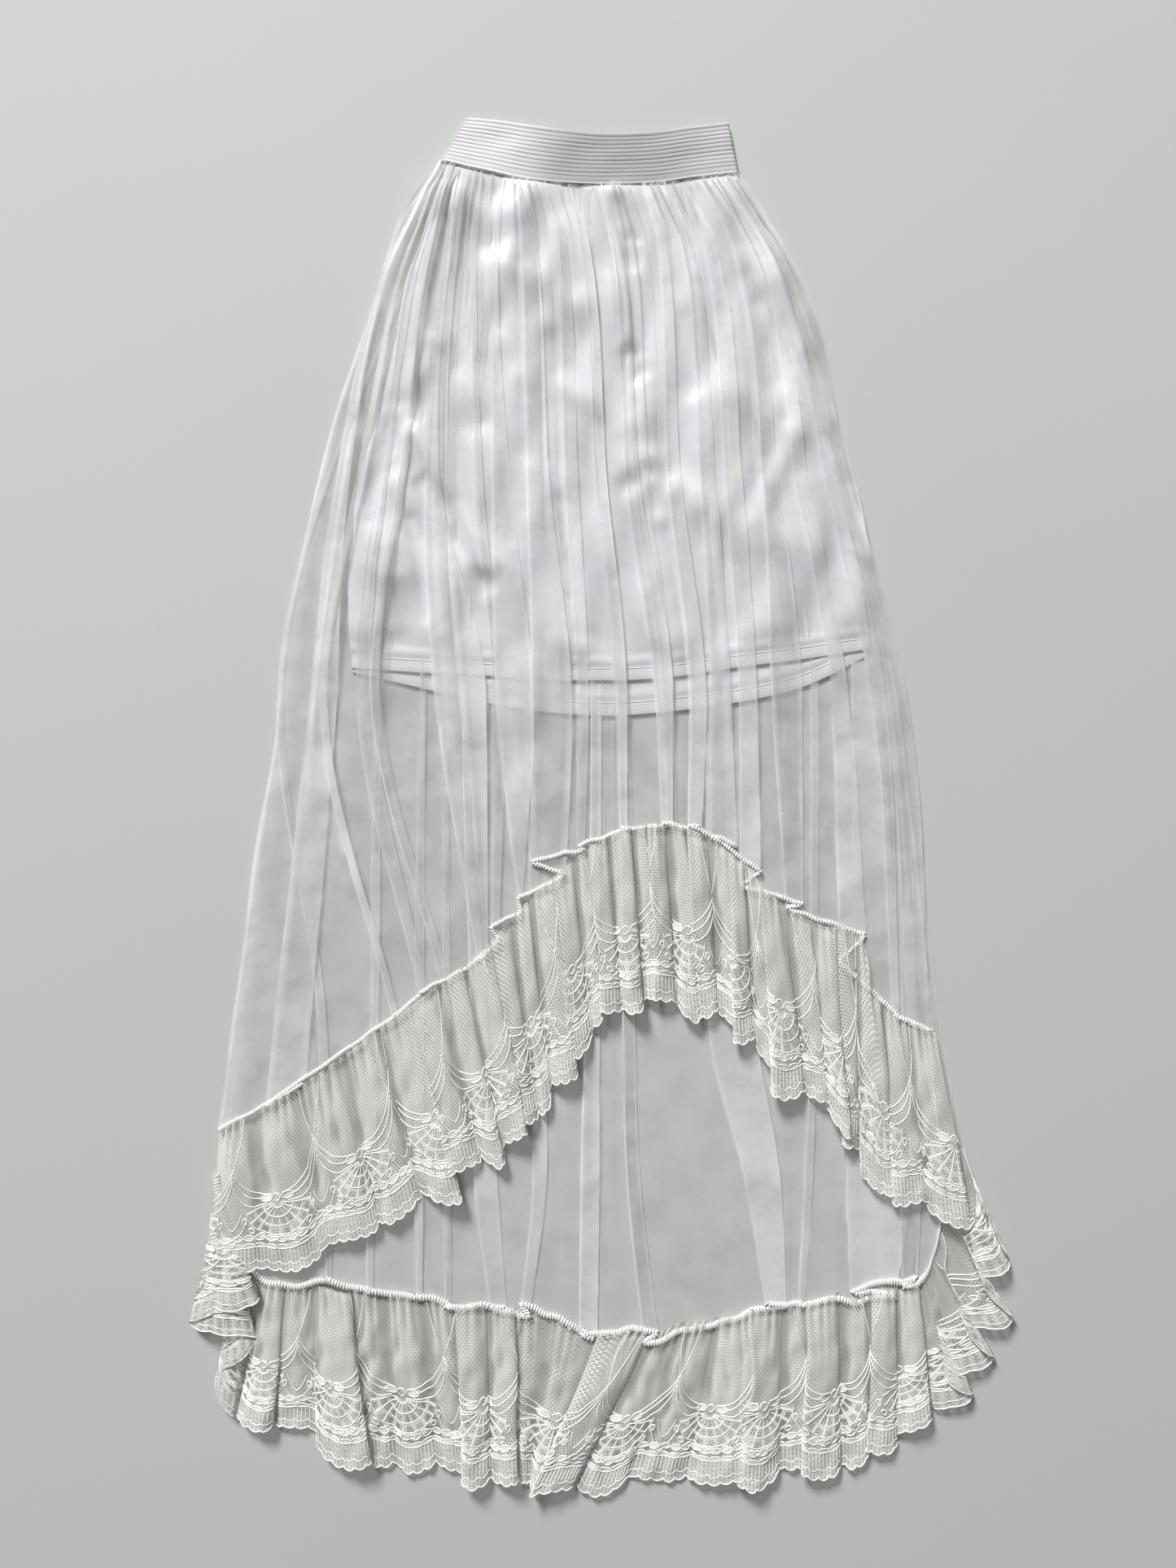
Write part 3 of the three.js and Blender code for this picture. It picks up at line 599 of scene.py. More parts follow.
def elastic_material():
    """Ribbed elastic: streaks along its ribs, lighter at its left end as in the photograph."""
    look, _ = settings()
    mat = Material("elastic")
    u, v = mat.cloth()
    crinkle = (u * 4.6).sin() * 0.5 + 0.5
    stretched = mat.node("ShaderNodeCombineXYZ", None, {0: u * 0.02, 1: v * 2.1, 2: 0.0})
    streak = mat.noise(1.0, 3.0, stretched)
    lit = mat.ramp(u, 30.0, 95.0, 0.85, 0.0) + mat.ramp(u, 150.0, 215.0, 0.0, 0.3)
    tone = mat.mix(
        (streak * 0.9 - 0.2 + lit).clamp(), tint(look.elastic, 0.84), tint(look.elastic, 2.1))
    return mat.finish(
        base_color=tone, roughness=0.7, normal=mat.bump(crinkle * 0.4 + streak, 0.5, 0.0005))


def lace_material():
    """Lace ground: a six-sided net, with close-worked leaves, petals and edge band. The ground's colour
    carries painted shade in its hollows and painted highlight on its ridges.
    """
    look, size = settings()
    mat = Material("lace")
    u, v = mat.cloth()
    threads = net_threads(mat, u, v, size.lace_pitch * 1000, 0.43, 0.07)
    across = ((u / LACE_REPEAT).fract() - 0.5) * LACE_REPEAT
    down = v - FAN_V
    far = (across * across + down * down).sqrt()
    spokes = mat.ramp((across.angle(down) * SPOKES).cos(), 0.1, 0.55)
    rings = mat.ramp(((far - 4.5) / 8.5 * 2 * math.pi).cos(), 0.2, 0.8)
    fan = spokes.max(rings) * mat.ramp(down, 0.0, 3.0) * mat.ramp(far, FAN_R + 1.0, FAN_R - 1.0)
    worked = fan * 0.78
    for x, y, rx, ry in LEAVES:
        dx = (across.abs() - x) / rx
        dy = (v - y) / ry
        worked = worked.max(mat.ramp(dx * dx + dy * dy, 1.15, 0.85))
    drop = edge_drop(across)
    for line, tall in ((BEADS_V, 2.3), (BAND_V - 0.2, 1.5)):
        lens = ((across * (math.pi * PETALS / LACE_REPEAT)).cos().abs() ** 0.6) * tall
        chain = mat.ramp((v - drop - line).abs() - lens, 0.25, -0.25)
        worked = worked.max(chain * 0.85)
    bars = ((across + LACE_REPEAT / 2) * (2 * math.pi * BARS / LACE_REPEAT)).cos() * -0.5 + 0.5
    band = mat.ramp(v - drop, BAND_V - 0.6, BAND_V + 0.6)
    solid = (worked * 0.92).max(band * (0.3 + 0.42 * bars))
    relief_shade = mat.attribute("relief_shade")
    # Partly painted shade: hollows get more cover of the darkened ground, and on ridges the bunched lace
    # is denser.
    bunched_and_shade = (relief_shade * 2 - 1).abs() * 0.24
    dense = 0.3 + 0.7 * mat.attribute("cover")
    alpha = ((threads * look.lace_cover + bunched_and_shade).max(solid) * dense).min(0.95)
    height = threads * 0.4 + worked + band * bars * 0.5
    # Painted shade and painted highlight: the ground is darker in hollows and lighter on ridges and high
    # parts.
    ground = mat.mix(relief_shade, tint(look.lace, 0.5), tint(look.lace, 1.24))
    tone = mat.mix(worked.max(band * 0.5) * 0.9, ground, tint(look.lace_cord))
    return mat.finish(
        base_color=tone, roughness=0.75, alpha=alpha, normal=mat.bump(height, 0.4, 0.0004))


def plain_material(name, colour, roughness, bump=0.0):
    mat = Material(name)
    inputs = {"base_color": tint(colour), "roughness": roughness}
    if bump:
        inputs["normal"] = mat.bump(mat.noise(900.0), bump, 0.0004)
    return mat.finish(**inputs)


def board_material():
    look, _ = settings()
    mat = Material("board")
    tone = (mat.noise(2.2, 3.0) - 0.5) * 0.6 + (mat.noise(260.0) - 0.5) * 0.35 + 0.5
    return mat.finish(
        base_color=mat.mix(tone, tint(look.board, 0.95), tint(look.board, 1.05)), roughness=0.8)


def shared(name, build):
    """A finish made once for all its pieces. Its name differs from the solids' own materials."""
    found = bpy.data.materials.get("skirt_" + name)
    return found if found else build()


# Net panels


# The net starts this far below the waistband's lower edge, and has this many rows.
NET_GAP = 0.6
NET_ROWS = 120


def net_edges(folds, heights, seam, v):
    """Edges of a panel and of its pressed folds, in the order the cloth runs, each with its x at the
    waist, its side, and its line x and y. Side is 1 and -1 at a fold's right and left edge, else 0."""
    rows = [(left_x, *WAIST[0], *seam[0], 0)]
    for waist, x0, w0, x1, w1, x2, w2, *ends in folds:
        top = float(waist_y(waist))
        for side, (end_x, end_y) in ((1, ends[:2]), (-1, ends[2:])):
            line = [(top - NET_GAP, waist + side * 0.5)]
            line += [(h, x + side * w * 0.72) for h, x, w in zip(heights, (x0, x1, x2), (w0, w1, w2))]
            line.append((end_y, end_x))
            rows.append((curve(line), line[0][1], top, end_x, end_y, side))
    rows.append((right_x, *WAIST[-1], *seam[-1], 0))
    edges = []
    for at, x_top, y_top, x_end, y_end, side in rows:
        y = lerp(y_top - NET_GAP, y_end, v)
        x = at(y)
        x = x + (x_end - x[-1]) * v ** 3 + (x_top - x[0]) * (1 - v) ** 6
        edges.append((x_top, side, x, y))
    return edges


def net_columns(edges, seed):
    """Columns of a net panel: x and y down the rows, share of the cloth's width, how sharply it is
    creased, how high it lies and how dense it looks. Also gives the columns that turn over."""
    folds = len(edges) // 2 - 1
    rises = uneven(seed + 1, 1.4, 4.2, len(edges) + 1)
    spreads = uneven(seed + 2, 6, 15, len(edges) + 1)
    doubled = uneven(seed + 3, 0.25, 0.95, folds + 1)
    creased = uneven(seed + 4, 0.3, 1.25, folds + 1)
    columns, turned, run = [], [], 0.0
    for k in range(len(edges) - 1):
        (top_a, side_a, x_a, y_a), (top_b, side_b, x_b, y_b) = edges[k:k + 2]
        back = side_a == 1 and side_b == -1
        width = 0.0 if back else abs(top_b - top_a)
        t = np.linspace(0, 1, 6 if back else max(10, round(width / 0.75)) + 1)
        if not back:
            t = np.unique(np.concatenate([[0.02, 0.06], t, [0.94, 0.98]]))
        if k:
            turned.append(len(columns))
        for s in t[:-1] if k < len(edges) - 2 else t:
            x, y = lerp(x_a, x_b, s), lerp(y_a, y_b, s)
            away = s * np.abs(x_b - x_a)
            if back:
                lapped = np.full(len(x), doubled[(k - 1) // 2])
                layer = lerp(0.3, rises[k] * 0.6, s) + 0 * away
            else:
                under_left = k > 1 and x < edges[k - 1][2]
                under_right = k + 2 < len(edges) and x > edges[k + 2][2]
                lapped = np.where(under_left, doubled[k // 2 - 1], 0.0)
                lapped = np.where(under_right, doubled[min(k // 2, folds)], lapped)
                layer = rises[k - 1] * np.exp(-(away / spreads[k]) ** 1.4) if side_a else 0.3 + 0 * away
            lapped = np.broadcast_to(lapped, x.shape)
            dense = 1 + lapped * (0.8 + 0.3 * np.sin(y / 62 + 9 * lapped))
            near = min(s, 1 - s) * (0.12 if back else 1.0)
            at_start = side_a != 0 and s < 0.5
            fold = min((k - 1) // 2 if at_start else k // 2, folds)
            turning = at_start or (side_b != 0 and s >= 0.5)
            crease = creased[fold] * hill(near, 0.012) if turning else 0.0
            columns.append((x, y, run + s * width, crease, layer, dense))
        run += width
    x, y, place, crease, layer, dense = [np.array(part).T for part in zip(*columns)]
    return x, y, place / run, crease, layer, dense, turned


def net_panel(name, node, folds, heights, seam, base, ripple, seed):
    """One net panel: pressed folds that lie in three layers, gathers at the waist, soft waves below."""
    _, size = settings()
    v = np.linspace(0, 1, NET_ROWS)[:, None] ** 1.1
    x, y, place, crease, layer, dense, turned = net_columns(net_edges(folds, heights, seam, v[:, 0]), seed)
    gathers = size.gathers
    warp = place + 0.008 * np.sin(place * 41 + 1) + 0.004 * np.sin(place * 97)
    phase = 2 * math.pi * gathers * warp
    index = np.clip((gathers * warp).astype(int), 0, gathers)
    rng = np.random.default_rng(seed)
    reach = rng.uniform(22, 75, gathers + 2)
    long_ones = rng.uniform(0, 1, gathers + 2) > 0.6
    reach = np.where(long_ones, reach + rng.uniform(120, 420, gathers + 2), reach)
    strength = rng.uniform(1.0, 2.7, gathers + 2)[index]
    gathered = strength * np.exp((y - y[0]) / reach[index])
    width = (x[:, -1] - x[:, 0])[:, None] / gathers
    x = x + width / (2 * math.pi) * np.sin(phase) * gathered
    y = y + ripple(x) * v ** 12
    foot = smooth(0.9, 1, v)
    layer = layer * (0.75 + 0.25 * np.sin(y / 31 + place * 40))
    z = base(x, y) + layer * smooth(0, 0.15, v) * (1 - 0.45 * foot)
    z = z + size.gather_height * 1000 * (0.5 + 0.5 * np.cos(phase)) * gathered * 0.62
    z = z + 0.6 * (1 + waves(x, y * 0.2, seed, 30)) * smooth(0.02, 0.2, v)
    z = z + 0.7 * (1 + waves(x, y * 0.7, seed + 5, 44)) * smooth(0.3, 0.6, v) * (1 - 0.6 * foot)
    points = np.stack([x, y, z], -1)
    across = np.array([run_of(row) for row in points])
    uv = flat_places(across - across[:, -1:] / 2, run_of(points.mean(1)))
    cover = cover_of(points) ** 0.9 * dense + 0.9 * crease * smooth(0.0, 0.1, v)
    cover = cover + hill(np.minimum(place, 1 - place), 0.004)
    faces = grid_faces(*x.shape)
    obj = mesh_object(
        name, points.reshape(-1, 3), faces, uv, {"cover": np.clip(cover, 0.8, 3.8)},
        shared("net", net_material))
    sharpen(obj, x.shape[1], turned)
    stand_for(obj, node)
    return points[-1]


def sharpen(obj, columns, turned):
    """Marks the turned edges of pressed folds as sharp, so both sides are shaded as lying flat."""
    mesh = obj.data
    pairs = np.empty(len(mesh.edges) * 2, np.int32)
    mesh.edges.foreach_get("vertices", pairs)
    column = pairs.reshape(-1, 2) % columns
    sharp = (column[:, 0] == column[:, 1]) & np.isin(column[:, 0], turned)
    mark = mesh.attributes.get("sharp_edge") or mesh.attributes.new("sharp_edge", "BOOLEAN", "EDGE")
    mark.data.foreach_set("value", sharp)
    mesh.update()


def front_base(x, y):
    lifted = lining_height(x, y) + 0.5
    return lerp(1.9, lifted, over_lining(x, y))


def back_base(x, y):
    return 0.35 + 0 * x


def ripple_front(x):
    return 0.9 * waves(x, 0 * x, 17, 24)


def ripple_back(x):
    return 1.9 * waves(x, 0 * x, 19, 42) + 0.9 * waves(x, 0 * x, 23, 19)


def cord_path(points):
    """Path of a rolled seam along the lower edge of a net panel, without points that crowd."""
    path = points[1:-2]
    keep = [0]
    for k in range(1, len(path)):
        if np.linalg.norm(path[k] - path[keep[-1]]) > 1.6:
            keep.append(k)
    return path[keep]


# Lines that the sewing follows, kept by the operators that make the cloth.
KEPT = {}


class SkirtNet(bpy.types.Operator):
    """Adds the two sheer net panels of the overskirt"""

    bl_idname = "skirt.net"
    bl_label = "Net overskirt"

    def execute(self, context):
        KEPT["seam_back"] = net_panel(
            "overskirt_back_cloth", "overskirt_back", BACK_FOLDS, FOLD_HEIGHTS_BACK, SEAM_BACK, back_base,
            ripple_back, 21)
        KEPT["seam_front"] = net_panel(
            "overskirt_front_cloth", "overskirt_front", FRONT_FOLDS, FOLD_HEIGHTS, SEAM_FRONT, front_base,
            ripple_front, 12)
        return {"FINISHED"}


# Lining


# The lining's hem, from its edge: its line of stitches, the ridge of the turned cloth, and the roll.
HEM_STITCHES = 9.3
HEM_RIDGE = 15.6
HEM_ROLL = 0.55


def lining_sheet(name, node, hem_y, height, under):
    """A lining panel with its turned-up hem. Gives the line its stitches follow."""
    columns = rows = 130
    u = np.linspace(0, 1, columns)[None, :]
    v = np.linspace(0, 1, rows)[:, None]
    hem_x = lerp(LINING_HEM[0][0], LINING_HEM[-1][0], u)
    foot = hem_y(hem_x)
    y = lerp(waist_y(lerp(WAIST[0][0], WAIST[-1][0], u)) - NET_GAP, foot, v)
    x = lerp(lining_left(y), lining_right(y), u)
    x = x + (hem_x - lerp(lining_left(foot), lining_right(foot), u)) * v ** 6
    x = x + 1.2 * waves(y, 0 * y, 31, 60) * (np.abs(2 * u - 1) ** 8) * np.sign(u - 0.5)
    z = height(x, y)
    up = y - foot
    z = z + 0.5 * smooth(18.0, 15.0, up) + hill(up - HEM_RIDGE, 1.5) - 0.5 * hill(up - HEM_STITCHES, 1.3)
    z = z + 0.12 * np.sin(x * 1.1) * hill(up - HEM_STITCHES, 5)
    width = x[:, -1:] - x[:, :1]
    side = np.minimum(u, 1 - u) * width
    z = z - (height(x, y) - under) * 0.75 * (1 - np.sqrt(np.clip(side / 5.0, 0, 1)))
    top = np.stack([x, y, z], -1)
    last = top[-1]
    turned = [last + (0, -HEM_ROLL * math.sin(a), HEM_ROLL * (math.cos(a) - 1))
              for a in np.radians(range(30, 181, 30))]
    for inward in (3, 7, 11, 16):
        row = last + (0, inward, 0)
        row[:, 2] = np.maximum(last[:, 2] - 2 * HEM_ROLL, under)
        turned.append(row)
    points = np.concatenate([top, turned], 0)
    across = width * (u - 0.5)
    across = np.concatenate([across, np.repeat(across[-1:], len(turned), 0)], 0)
    uv = flat_places(across, run_of(points.mean(1)))
    faces = grid_faces(len(points), columns)
    obj = mesh_object(
        name, points.reshape(-1, 3), faces, uv, material=shared("jersey", jersey_material))
    stand_for(obj, node)
    row = int(np.argmin(np.abs(up[:, columns // 2] - HEM_STITCHES)))
    return top[row, 3:-3]


class SkirtLining(bpy.types.Operator):
    """Adds the satin jersey lining, front and back"""

    bl_idname = "skirt.lining"
    bl_label = "Lining"

    def execute(self, context):
        def back(x, y):
            return LINING_BACK_Z + 0.8 + 0.15 * waves(x, y, 9, 40)

        KEPT["stitch_back"] = lining_sheet(
            "lining_back_cloth", "lining_back", lining_back_y, back, LINING_BACK_Z - 0.6)
        KEPT["stitch_front"] = lining_sheet(
            "lining_front_cloth", "lining_front", lining_front_y, lining_height, LINING_FRONT_Z - 0.7)
        return {"FINISHED"}


# Waistband


class SkirtBand(bpy.types.Operator):
    """Adds the ribbed elastic waistband, a flattened ring"""

    bl_idname = "skirt.band"
    bl_label = "Waistband"

    def execute(self, context):
        _, size = settings()
        rise, wall, rib, clear = 2.3, 1.5, 0.48, 0.4
        depth_of = uneven(14, 0.25, 1.25, size.ribs + 1)
        half = 150
        side = np.concatenate([
            np.linspace(-1, 1, half), np.full(8, 1.0), np.linspace(1, -1, half), np.full(8, -1.0)])
        turn = np.linspace(0, math.pi, 10)[1:-1]
        out_x = np.concatenate([np.zeros(half), np.sin(turn), np.zeros(half), -np.sin(turn)])
        out_z = np.concatenate([np.ones(half), np.cos(turn), -np.ones(half), -np.cos(turn)])
        rows = 10 * size.ribs + 1
        rings = []
        for v in np.linspace(0, 1, rows):
            wave = abs(math.sin(math.pi * size.ribs * v)) ** 0.7
            edge = 1 - math.exp(-((min(v, 1 - v)) / 0.012) ** 2)
            rings.append((v, rib * depth_of[int(size.ribs * v)] * (wave - 0.5) * edge - 0.25 * (1 - edge)))
        rings += [(v, -wall) for v in (0.97, 0.5, 0.03)]
        share = (side + 1) / 2
        points = []
        for v, reach in rings:
            left = lerp(WAIST_TOP[0][0], WAIST[0][0], v) + rise + clear
            right = lerp(WAIST_TOP[-1][0], WAIST[-1][0], v) - rise - clear
            x = lerp(left, right, share) + out_x * (rise + reach)
            top = waist_top_y(lerp(WAIST_TOP[0][0], WAIST_TOP[-1][0], share))
            y = lerp(top, waist_y(lerp(WAIST[0][0], WAIST[-1][0], share)), v)
            z = rise + 0.5 + out_z * (rise + reach)
            if reach > -wall:
                z = z + np.where(out_z > 0, 0.25 * waves(x, y * 2.5, 5, 60), 0)
            points.append(np.stack([x, y, z], -1))
        points = np.array(points)
        count = points.shape[1]
        middle = points[rows // 2]
        around = run_of(np.concatenate([middle, middle[:1]]))[:-1]
        down = np.concatenate([[0], np.cumsum(np.abs(np.diff([v for v, _ in rings])))]) * BAND_DEPTH
        closing = np.arange(count)
        after = (closing + 1) % count
        last = (len(rings) - 1) * count
        faces = np.concatenate([
            grid_faces(len(rings), count, closed=True),
            np.stack([last + closing, closing, after, last + after], -1)])
        obj = mesh_object(
            "waistband_cloth", points.reshape(-1, 3), faces, flat_places(around[None, :], down),
            material=shared("elastic", elastic_material))
        stand_for(obj, "waistband")
        KEPT["band_foot"] = points[rows - 5, 2:half - 2] + (0, 0, 0.15)
        return {"FINISHED"}


# Lace

# The pattern of one repeat, in millimetres. V is the distance down from the seam: the middle of the fan,
# the ladder band and the row of beads. Leaves are x, y and their two half sizes.
FAN_V = 82.0
FAN_R = 28.0
SPOKES = 18
BAND_V = 116.0
BEADS_V = BAND_V - 6.5
PETALS = 9
BARS = 27
LEAVES = [(9.5, 77.5, 5.6, 2.9), (5.0, 84.0, 2.6, 2.2), (39.5, 107.5, 3.8, 2.4), (39.5, 46.5, 2.0, 1.6)]


def edge_drop(across):
    """How much lower the lace runs at a place across the repeat: most at the middle of the fan."""
    turn = across * (2 * math.pi / LACE_REPEAT)
    return (turn.cos() if isinstance(turn, Value) else np.cos(turn)) * 4.0


def lace_edge(u):
    """Depth of the lace at a place along it, with its large arcs and small scallops."""
    across = ((u / LACE_REPEAT) % 1 - 0.5) * LACE_REPEAT
    small = np.abs(np.sin(math.pi * u / (LACE_REPEAT / PETALS)))
    return LACE_DEPTH - 2.0 + edge_drop(across) + 2.4 * small ** 0.7


class Ruffle:
    """A gathered strip of lace between a seam line and an edge line, in rounded flutes."""

    def __init__(self, seam, hem, flutes, ends, level, phase, seed, flat=0.0, ease=1.0, scale=1.0):
        """flutes holds each one's x at the seam and at the edge, height, tuck and lean. flat is the
        share of the depth that stays flat, for the side turns. ease is how much cloth runs along the
        flutes, or None to find it from the area. scale turns places into millimetres."""
        self.seam, self.hem, self.level, self.flat = seam, hem, level, flat
        data = np.array(flutes, float)
        self.crest = data[:, :2]
        middle = (self.crest[:-1] + self.crest[1:]) / 2
        self.trough = np.vstack([ends[0], middle, ends[1]])
        self.height, self.tuck, self.lean = data[:, 2], data[:, 3], data[:, 4]
        self.count = len(flutes)
        self.seed, self.scale = seed, scale
        self.early = uneven(seed + 60, 0, 1, self.count) ** 1.5
        self.drops = uneven(seed + 40, 0.5, 9.0, self.count)
        c = np.linspace(0, self.count, 60 * self.count + 1)
        run = run_of(self.at(c, np.full_like(c, 0.75)))
        if ease is None:
            v = np.linspace(0, 1, 30)[:, None]
            grid = self.at(c[None, ::4], v)
            across, down = np.diff(grid, axis=1)[:-1], np.diff(grid, axis=0)[:, :-1]
            area = np.linalg.norm(np.cross(across, down), axis=2).sum()
            ease = area / (0.92 * run[-1] * LACE_DEPTH)
        self.c, self.u = c, run * ease + phase

    def at(self, c, v):
        """Points of the lace: c counts flutes from the left, v is the share of the depth."""
        k = np.clip(np.floor(c).astype(int), 0, self.count - 1)
        s = 2 * (c - k) - 1
        bump = (1 + np.cos(math.pi * s)) / 2
        places = []
        for column in (0, 1):
            crest = self.crest[k, column]
            left = crest - self.trough[k, column]
            right = self.trough[k + 1, column] - crest
            half = np.where(s < 0, left, right)
            tuck = self.tuck[k] * (0.9 if column == 0 else 1.2)
            far = np.sign(s) * (np.abs(s) + tuck * np.sin(math.pi * np.abs(s)))
            shift = self.lean[k] * (0.55 if column == 0 else 1.0)
            places.append(crest + half * far + shift * (left + right) * 0.5 * bump)
        top = self.seam(places[0])
        foot = self.hem(places[1])
        if self.flat == 0:
            step = np.where(self.height[k] > 5, 0.75, 0.4) * (1 - np.abs(s) ** 5)
            foot = (foot[0], lerp(foot[1], self.hem(self.crest[k, 1])[1], step))
        grow = 0.42 + 0.58 * smooth(self.flat, 1.0, v)
        if self.flat:
            grow = grow * smooth(self.flat * 0.5, self.flat + 0.3, v) + 0.08
        else:
            grow = lerp(grow, 0.45 + 0.6 * hill(v - 0.32, 0.26), self.early[k])
        x = lerp(top[0], foot[0], v)
        y = lerp(top[1], foot[1], v)
        y = y - (self.drops[k] * bump - 1.5) * np.clip(v, 0, 1.1) ** 3 * (0.8 if self.flat else 1.0)
        sway = 2.6 * np.sin(v * 4.4 + k * 2.1 + self.seed) * smooth(0.05, 0.4, v) * (1 - 0.4 * v)
        x = x + sway * bump * (self.height[k] > 5.5)
        peak = bump ** 0.8
        z = self.level(k / self.count, v) + 1.18 * self.height[k] * peak * grow
        z = z + 0.6 * (1 + waves(x, y, self.seed, 26)) * smooth(0, 0.25, v)
        run = places[0] * self.scale
        wander = 1.6 * waves(run, 0 * run, self.seed + 7, 33)
        reach = 0.13 + 0.09 * np.sin(run / 5.3 + wander)
        pleat = np.sin(2 * math.pi * run / 6.8 + wander) * np.exp(-v / reach)
        z = z + 1.3 * (1 + pleat) * smooth(1.2, 0.2, v) + 0.3
        z = z + 0.7 * (1 + waves(x * 1.6, y * 0.6, self.seed + 11, 24)) * smooth(0.05, 0.4, v)
        z = z + 0.5 * (1 + np.sin(2 * math.pi * c * 2.0 + k)) * smooth(0.6, 1.0, v)
        return np.stack([x, y, z], -1)

    def place(self, u, v):
        """Points of the lace from flat coordinates in millimetres."""
        c = np.interp(u, self.u, self.c)
        return self.at(np.clip(c, 0, self.count - 1e-6), np.asarray(v) / LACE_DEPTH)

    def normal(self, u, v):
        step = 0.7
        along = self.place(u + step, v) - self.place(u - step, v)
        down = self.place(u, v + step) - self.place(u, v - step)
        n = np.cross(down, along)
        n /= np.linalg.norm(n, axis=-1, keepdims=True) + 1e-9
        return n


def arc(cx, cy, rx, ry, a0, a1, n):
    a = np.radians(np.linspace(a0, a1, n))
    return np.stack([cx + rx * np.sin(a), cy + ry * np.cos(a)], -1)


def bent(points, n):
    """A smooth line through a few points."""
    p = np.array(points, float)
    t = run_of(p)
    s = np.linspace(0, t[-1], n)
    return np.stack([curve(np.stack([t, p[:, k]], -1))(s) for k in (0, 1)], -1)


def on_fan(degrees, radius):
    """A point of the fan at an angle from straight down."""
    a = math.radians(degrees)
    return radius * math.sin(a), FAN_V + radius * math.cos(a)


def motif():
    """Cords of one repeat, from the middle of its fan: (line, half width, height)."""
    half = LACE_REPEAT / 2
    branches = [
        ([(-half, 46), (-33, 57), (-24, 67), (-14, 73), (-5, 75)], 24, 0.45, 0.5),
        ([(-half, 49), (-34.5, 61), (-26, 71.5), (-16, 77), (-12, 77.5)], 24, 0.45, 0.5),
        ([(-half, 53), (-36, 67), (-29, 77), (-20, 82.5), (-9, 82)], 24, 0.45, 0.5),
        ([(-half, 46), (-35, 33), (-30.5, 17), (-28, 3)], 18, 0.4, 0.45),
        ([(-27, 88), (-30, 97), (-34, 103), (-half, 106)], 12, 0.42, 0.5),
        ([(-31.5, 84), (-34, 91), (-37, 96), (-half, 98)], 10, 0.36, 0.4),
    ]
    cords = []
    for m in (-1, 1):
        for line, count, width, height in branches:
            cords.append((bent([(m * x, y) for x, y in line], count), width, height))
        cords.append((arc(m * 9.5, 77.5, 5.4, 2.8, 0, 360, 13), 0.4, 0.5))
    cords.append((arc(0, 77.5, 3.4, 3.4, 0, 360, 7), 0.5, 0.6))
    cords.append((arc(half, 107.5, 3.6, 2.2, 0, 360, 11), 0.42, 0.5))
    for angle in range(-80, 81, 20):
        cords.append((bent([on_fan(angle, r) for r in (5, 12, 20, FAN_R)], 10), 0.36, 0.45))
    for r, n in ((5, 9), (13, 15), (20.5, 21), (FAN_R, 29)):
        cords.append((arc(0, FAN_V, r, r, -88, 88, n), 0.4, 0.5))
    ring = arc(0, 0, 3.2, 1.7, 0, 360, 9)
    for angle in range(-70, 71, 20):
        sine, cosine = math.sin(math.radians(angle)), math.cos(math.radians(angle))
        turned = ring @ np.array([[cosine, -sine], [sine, cosine]])
        cords.append((turned + on_fan(angle, FAN_R + 3.0), 0.5, 0.6))
    fine = np.linspace(-half, half, 55)
    wave = 1.7 * np.abs(np.cos(math.pi * PETALS * fine / LACE_REPEAT)) ** 0.6
    for line, way in ((BEADS_V, -1.4), (BEADS_V, 1.4), (BAND_V - 0.2, -0.9), (BAND_V + 1.2, 0.4)):
        cords.append((np.stack([fine, line + way * wave + edge_drop(fine)], -1), 0.42, 0.5))
    for count, up, width, height in ((37, 7.0, 0.32, 0.35), (64, 0.5, 0.5, 0.55)):
        across = np.linspace(-half, half, count)
        cords.append((np.stack([across, lace_edge(across + half) - up], -1), width, height))
    for k in range(BARS):
        x = -half + (k + 0.5) * LACE_REPEAT / BARS
        foot = BAND_V + float(edge_drop(np.array(x)))
        cords.append((np.array([[x, foot + down] for down in (1.5, 7, 12)]), 0.3, 0.3))
    return cords


def lace_cords(name, ruffle):
    """The raised cords of every repeat, laid on the lace surface as three-sided ridges."""
    points, faces, start = [], [], 0
    low, high = ruffle.u[0], ruffle.u[-1]
    cords = motif()
    for repeat in range(int(low // LACE_REPEAT), int(high // LACE_REPEAT) + 1):
        for line, width, height in cords:
            u = line[:, 0] + (repeat + 0.5) * LACE_REPEAT
            inside = (u > low + 0.5) & (u < high - 0.5)
            if inside.sum() < 2:
                continue
            u, v = u[inside], line[inside, 1]
            p = ruffle.place(u, v)
            n = ruffle.normal(u, v)
            side = np.cross(np.gradient(p, axis=0), n)
            side *= 1.35 * width / (np.linalg.norm(side, axis=1, keepdims=True) + 1e-9)
            base = p + n * 0.05
            points.append(np.stack([base - side, base + n * height, base + side], 1).reshape(-1, 3))
            i = np.arange(len(u) - 1)[:, None] * 3 + start
            k = np.arange(3)[None, :]
            a, b = i + k, i + (k + 1) % 3
            faces.append(np.stack([a, b, b + 3, a + 3], -1).reshape(-1, 4))
            start += 3 * len(u)
    look, _ = settings()
    cord = shared("lace_cord", lambda: plain_material("lace_cord", look.lace_cord, 0.7))
    obj = mesh_object(name, np.concatenate(points), np.concatenate(faces), material=cord)
    return stand_for(obj, None)


def relief_shade_of(z, reach=9):
    """How high each point stands over its neighbours along the cloth, and a little how high it stands at
    all: 0 in a hollow, 1 on a ridge. It is painted shade and painted highlight: the lace's colour is
    darker in hollows and lighter on ridges.
    """
    padded = np.pad(z, ((0, 0), (reach, reach)), mode="edge")
    total = np.cumsum(np.pad(padded, ((0, 0), (1, 0))), axis=1)
    mean = (total[:, 2 * reach + 1:] - total[:, :-2 * reach - 1]) / (2 * reach + 1)
    return np.clip(0.32 + 0.42 * (z - mean) + 0.068 * z, 0, 1)


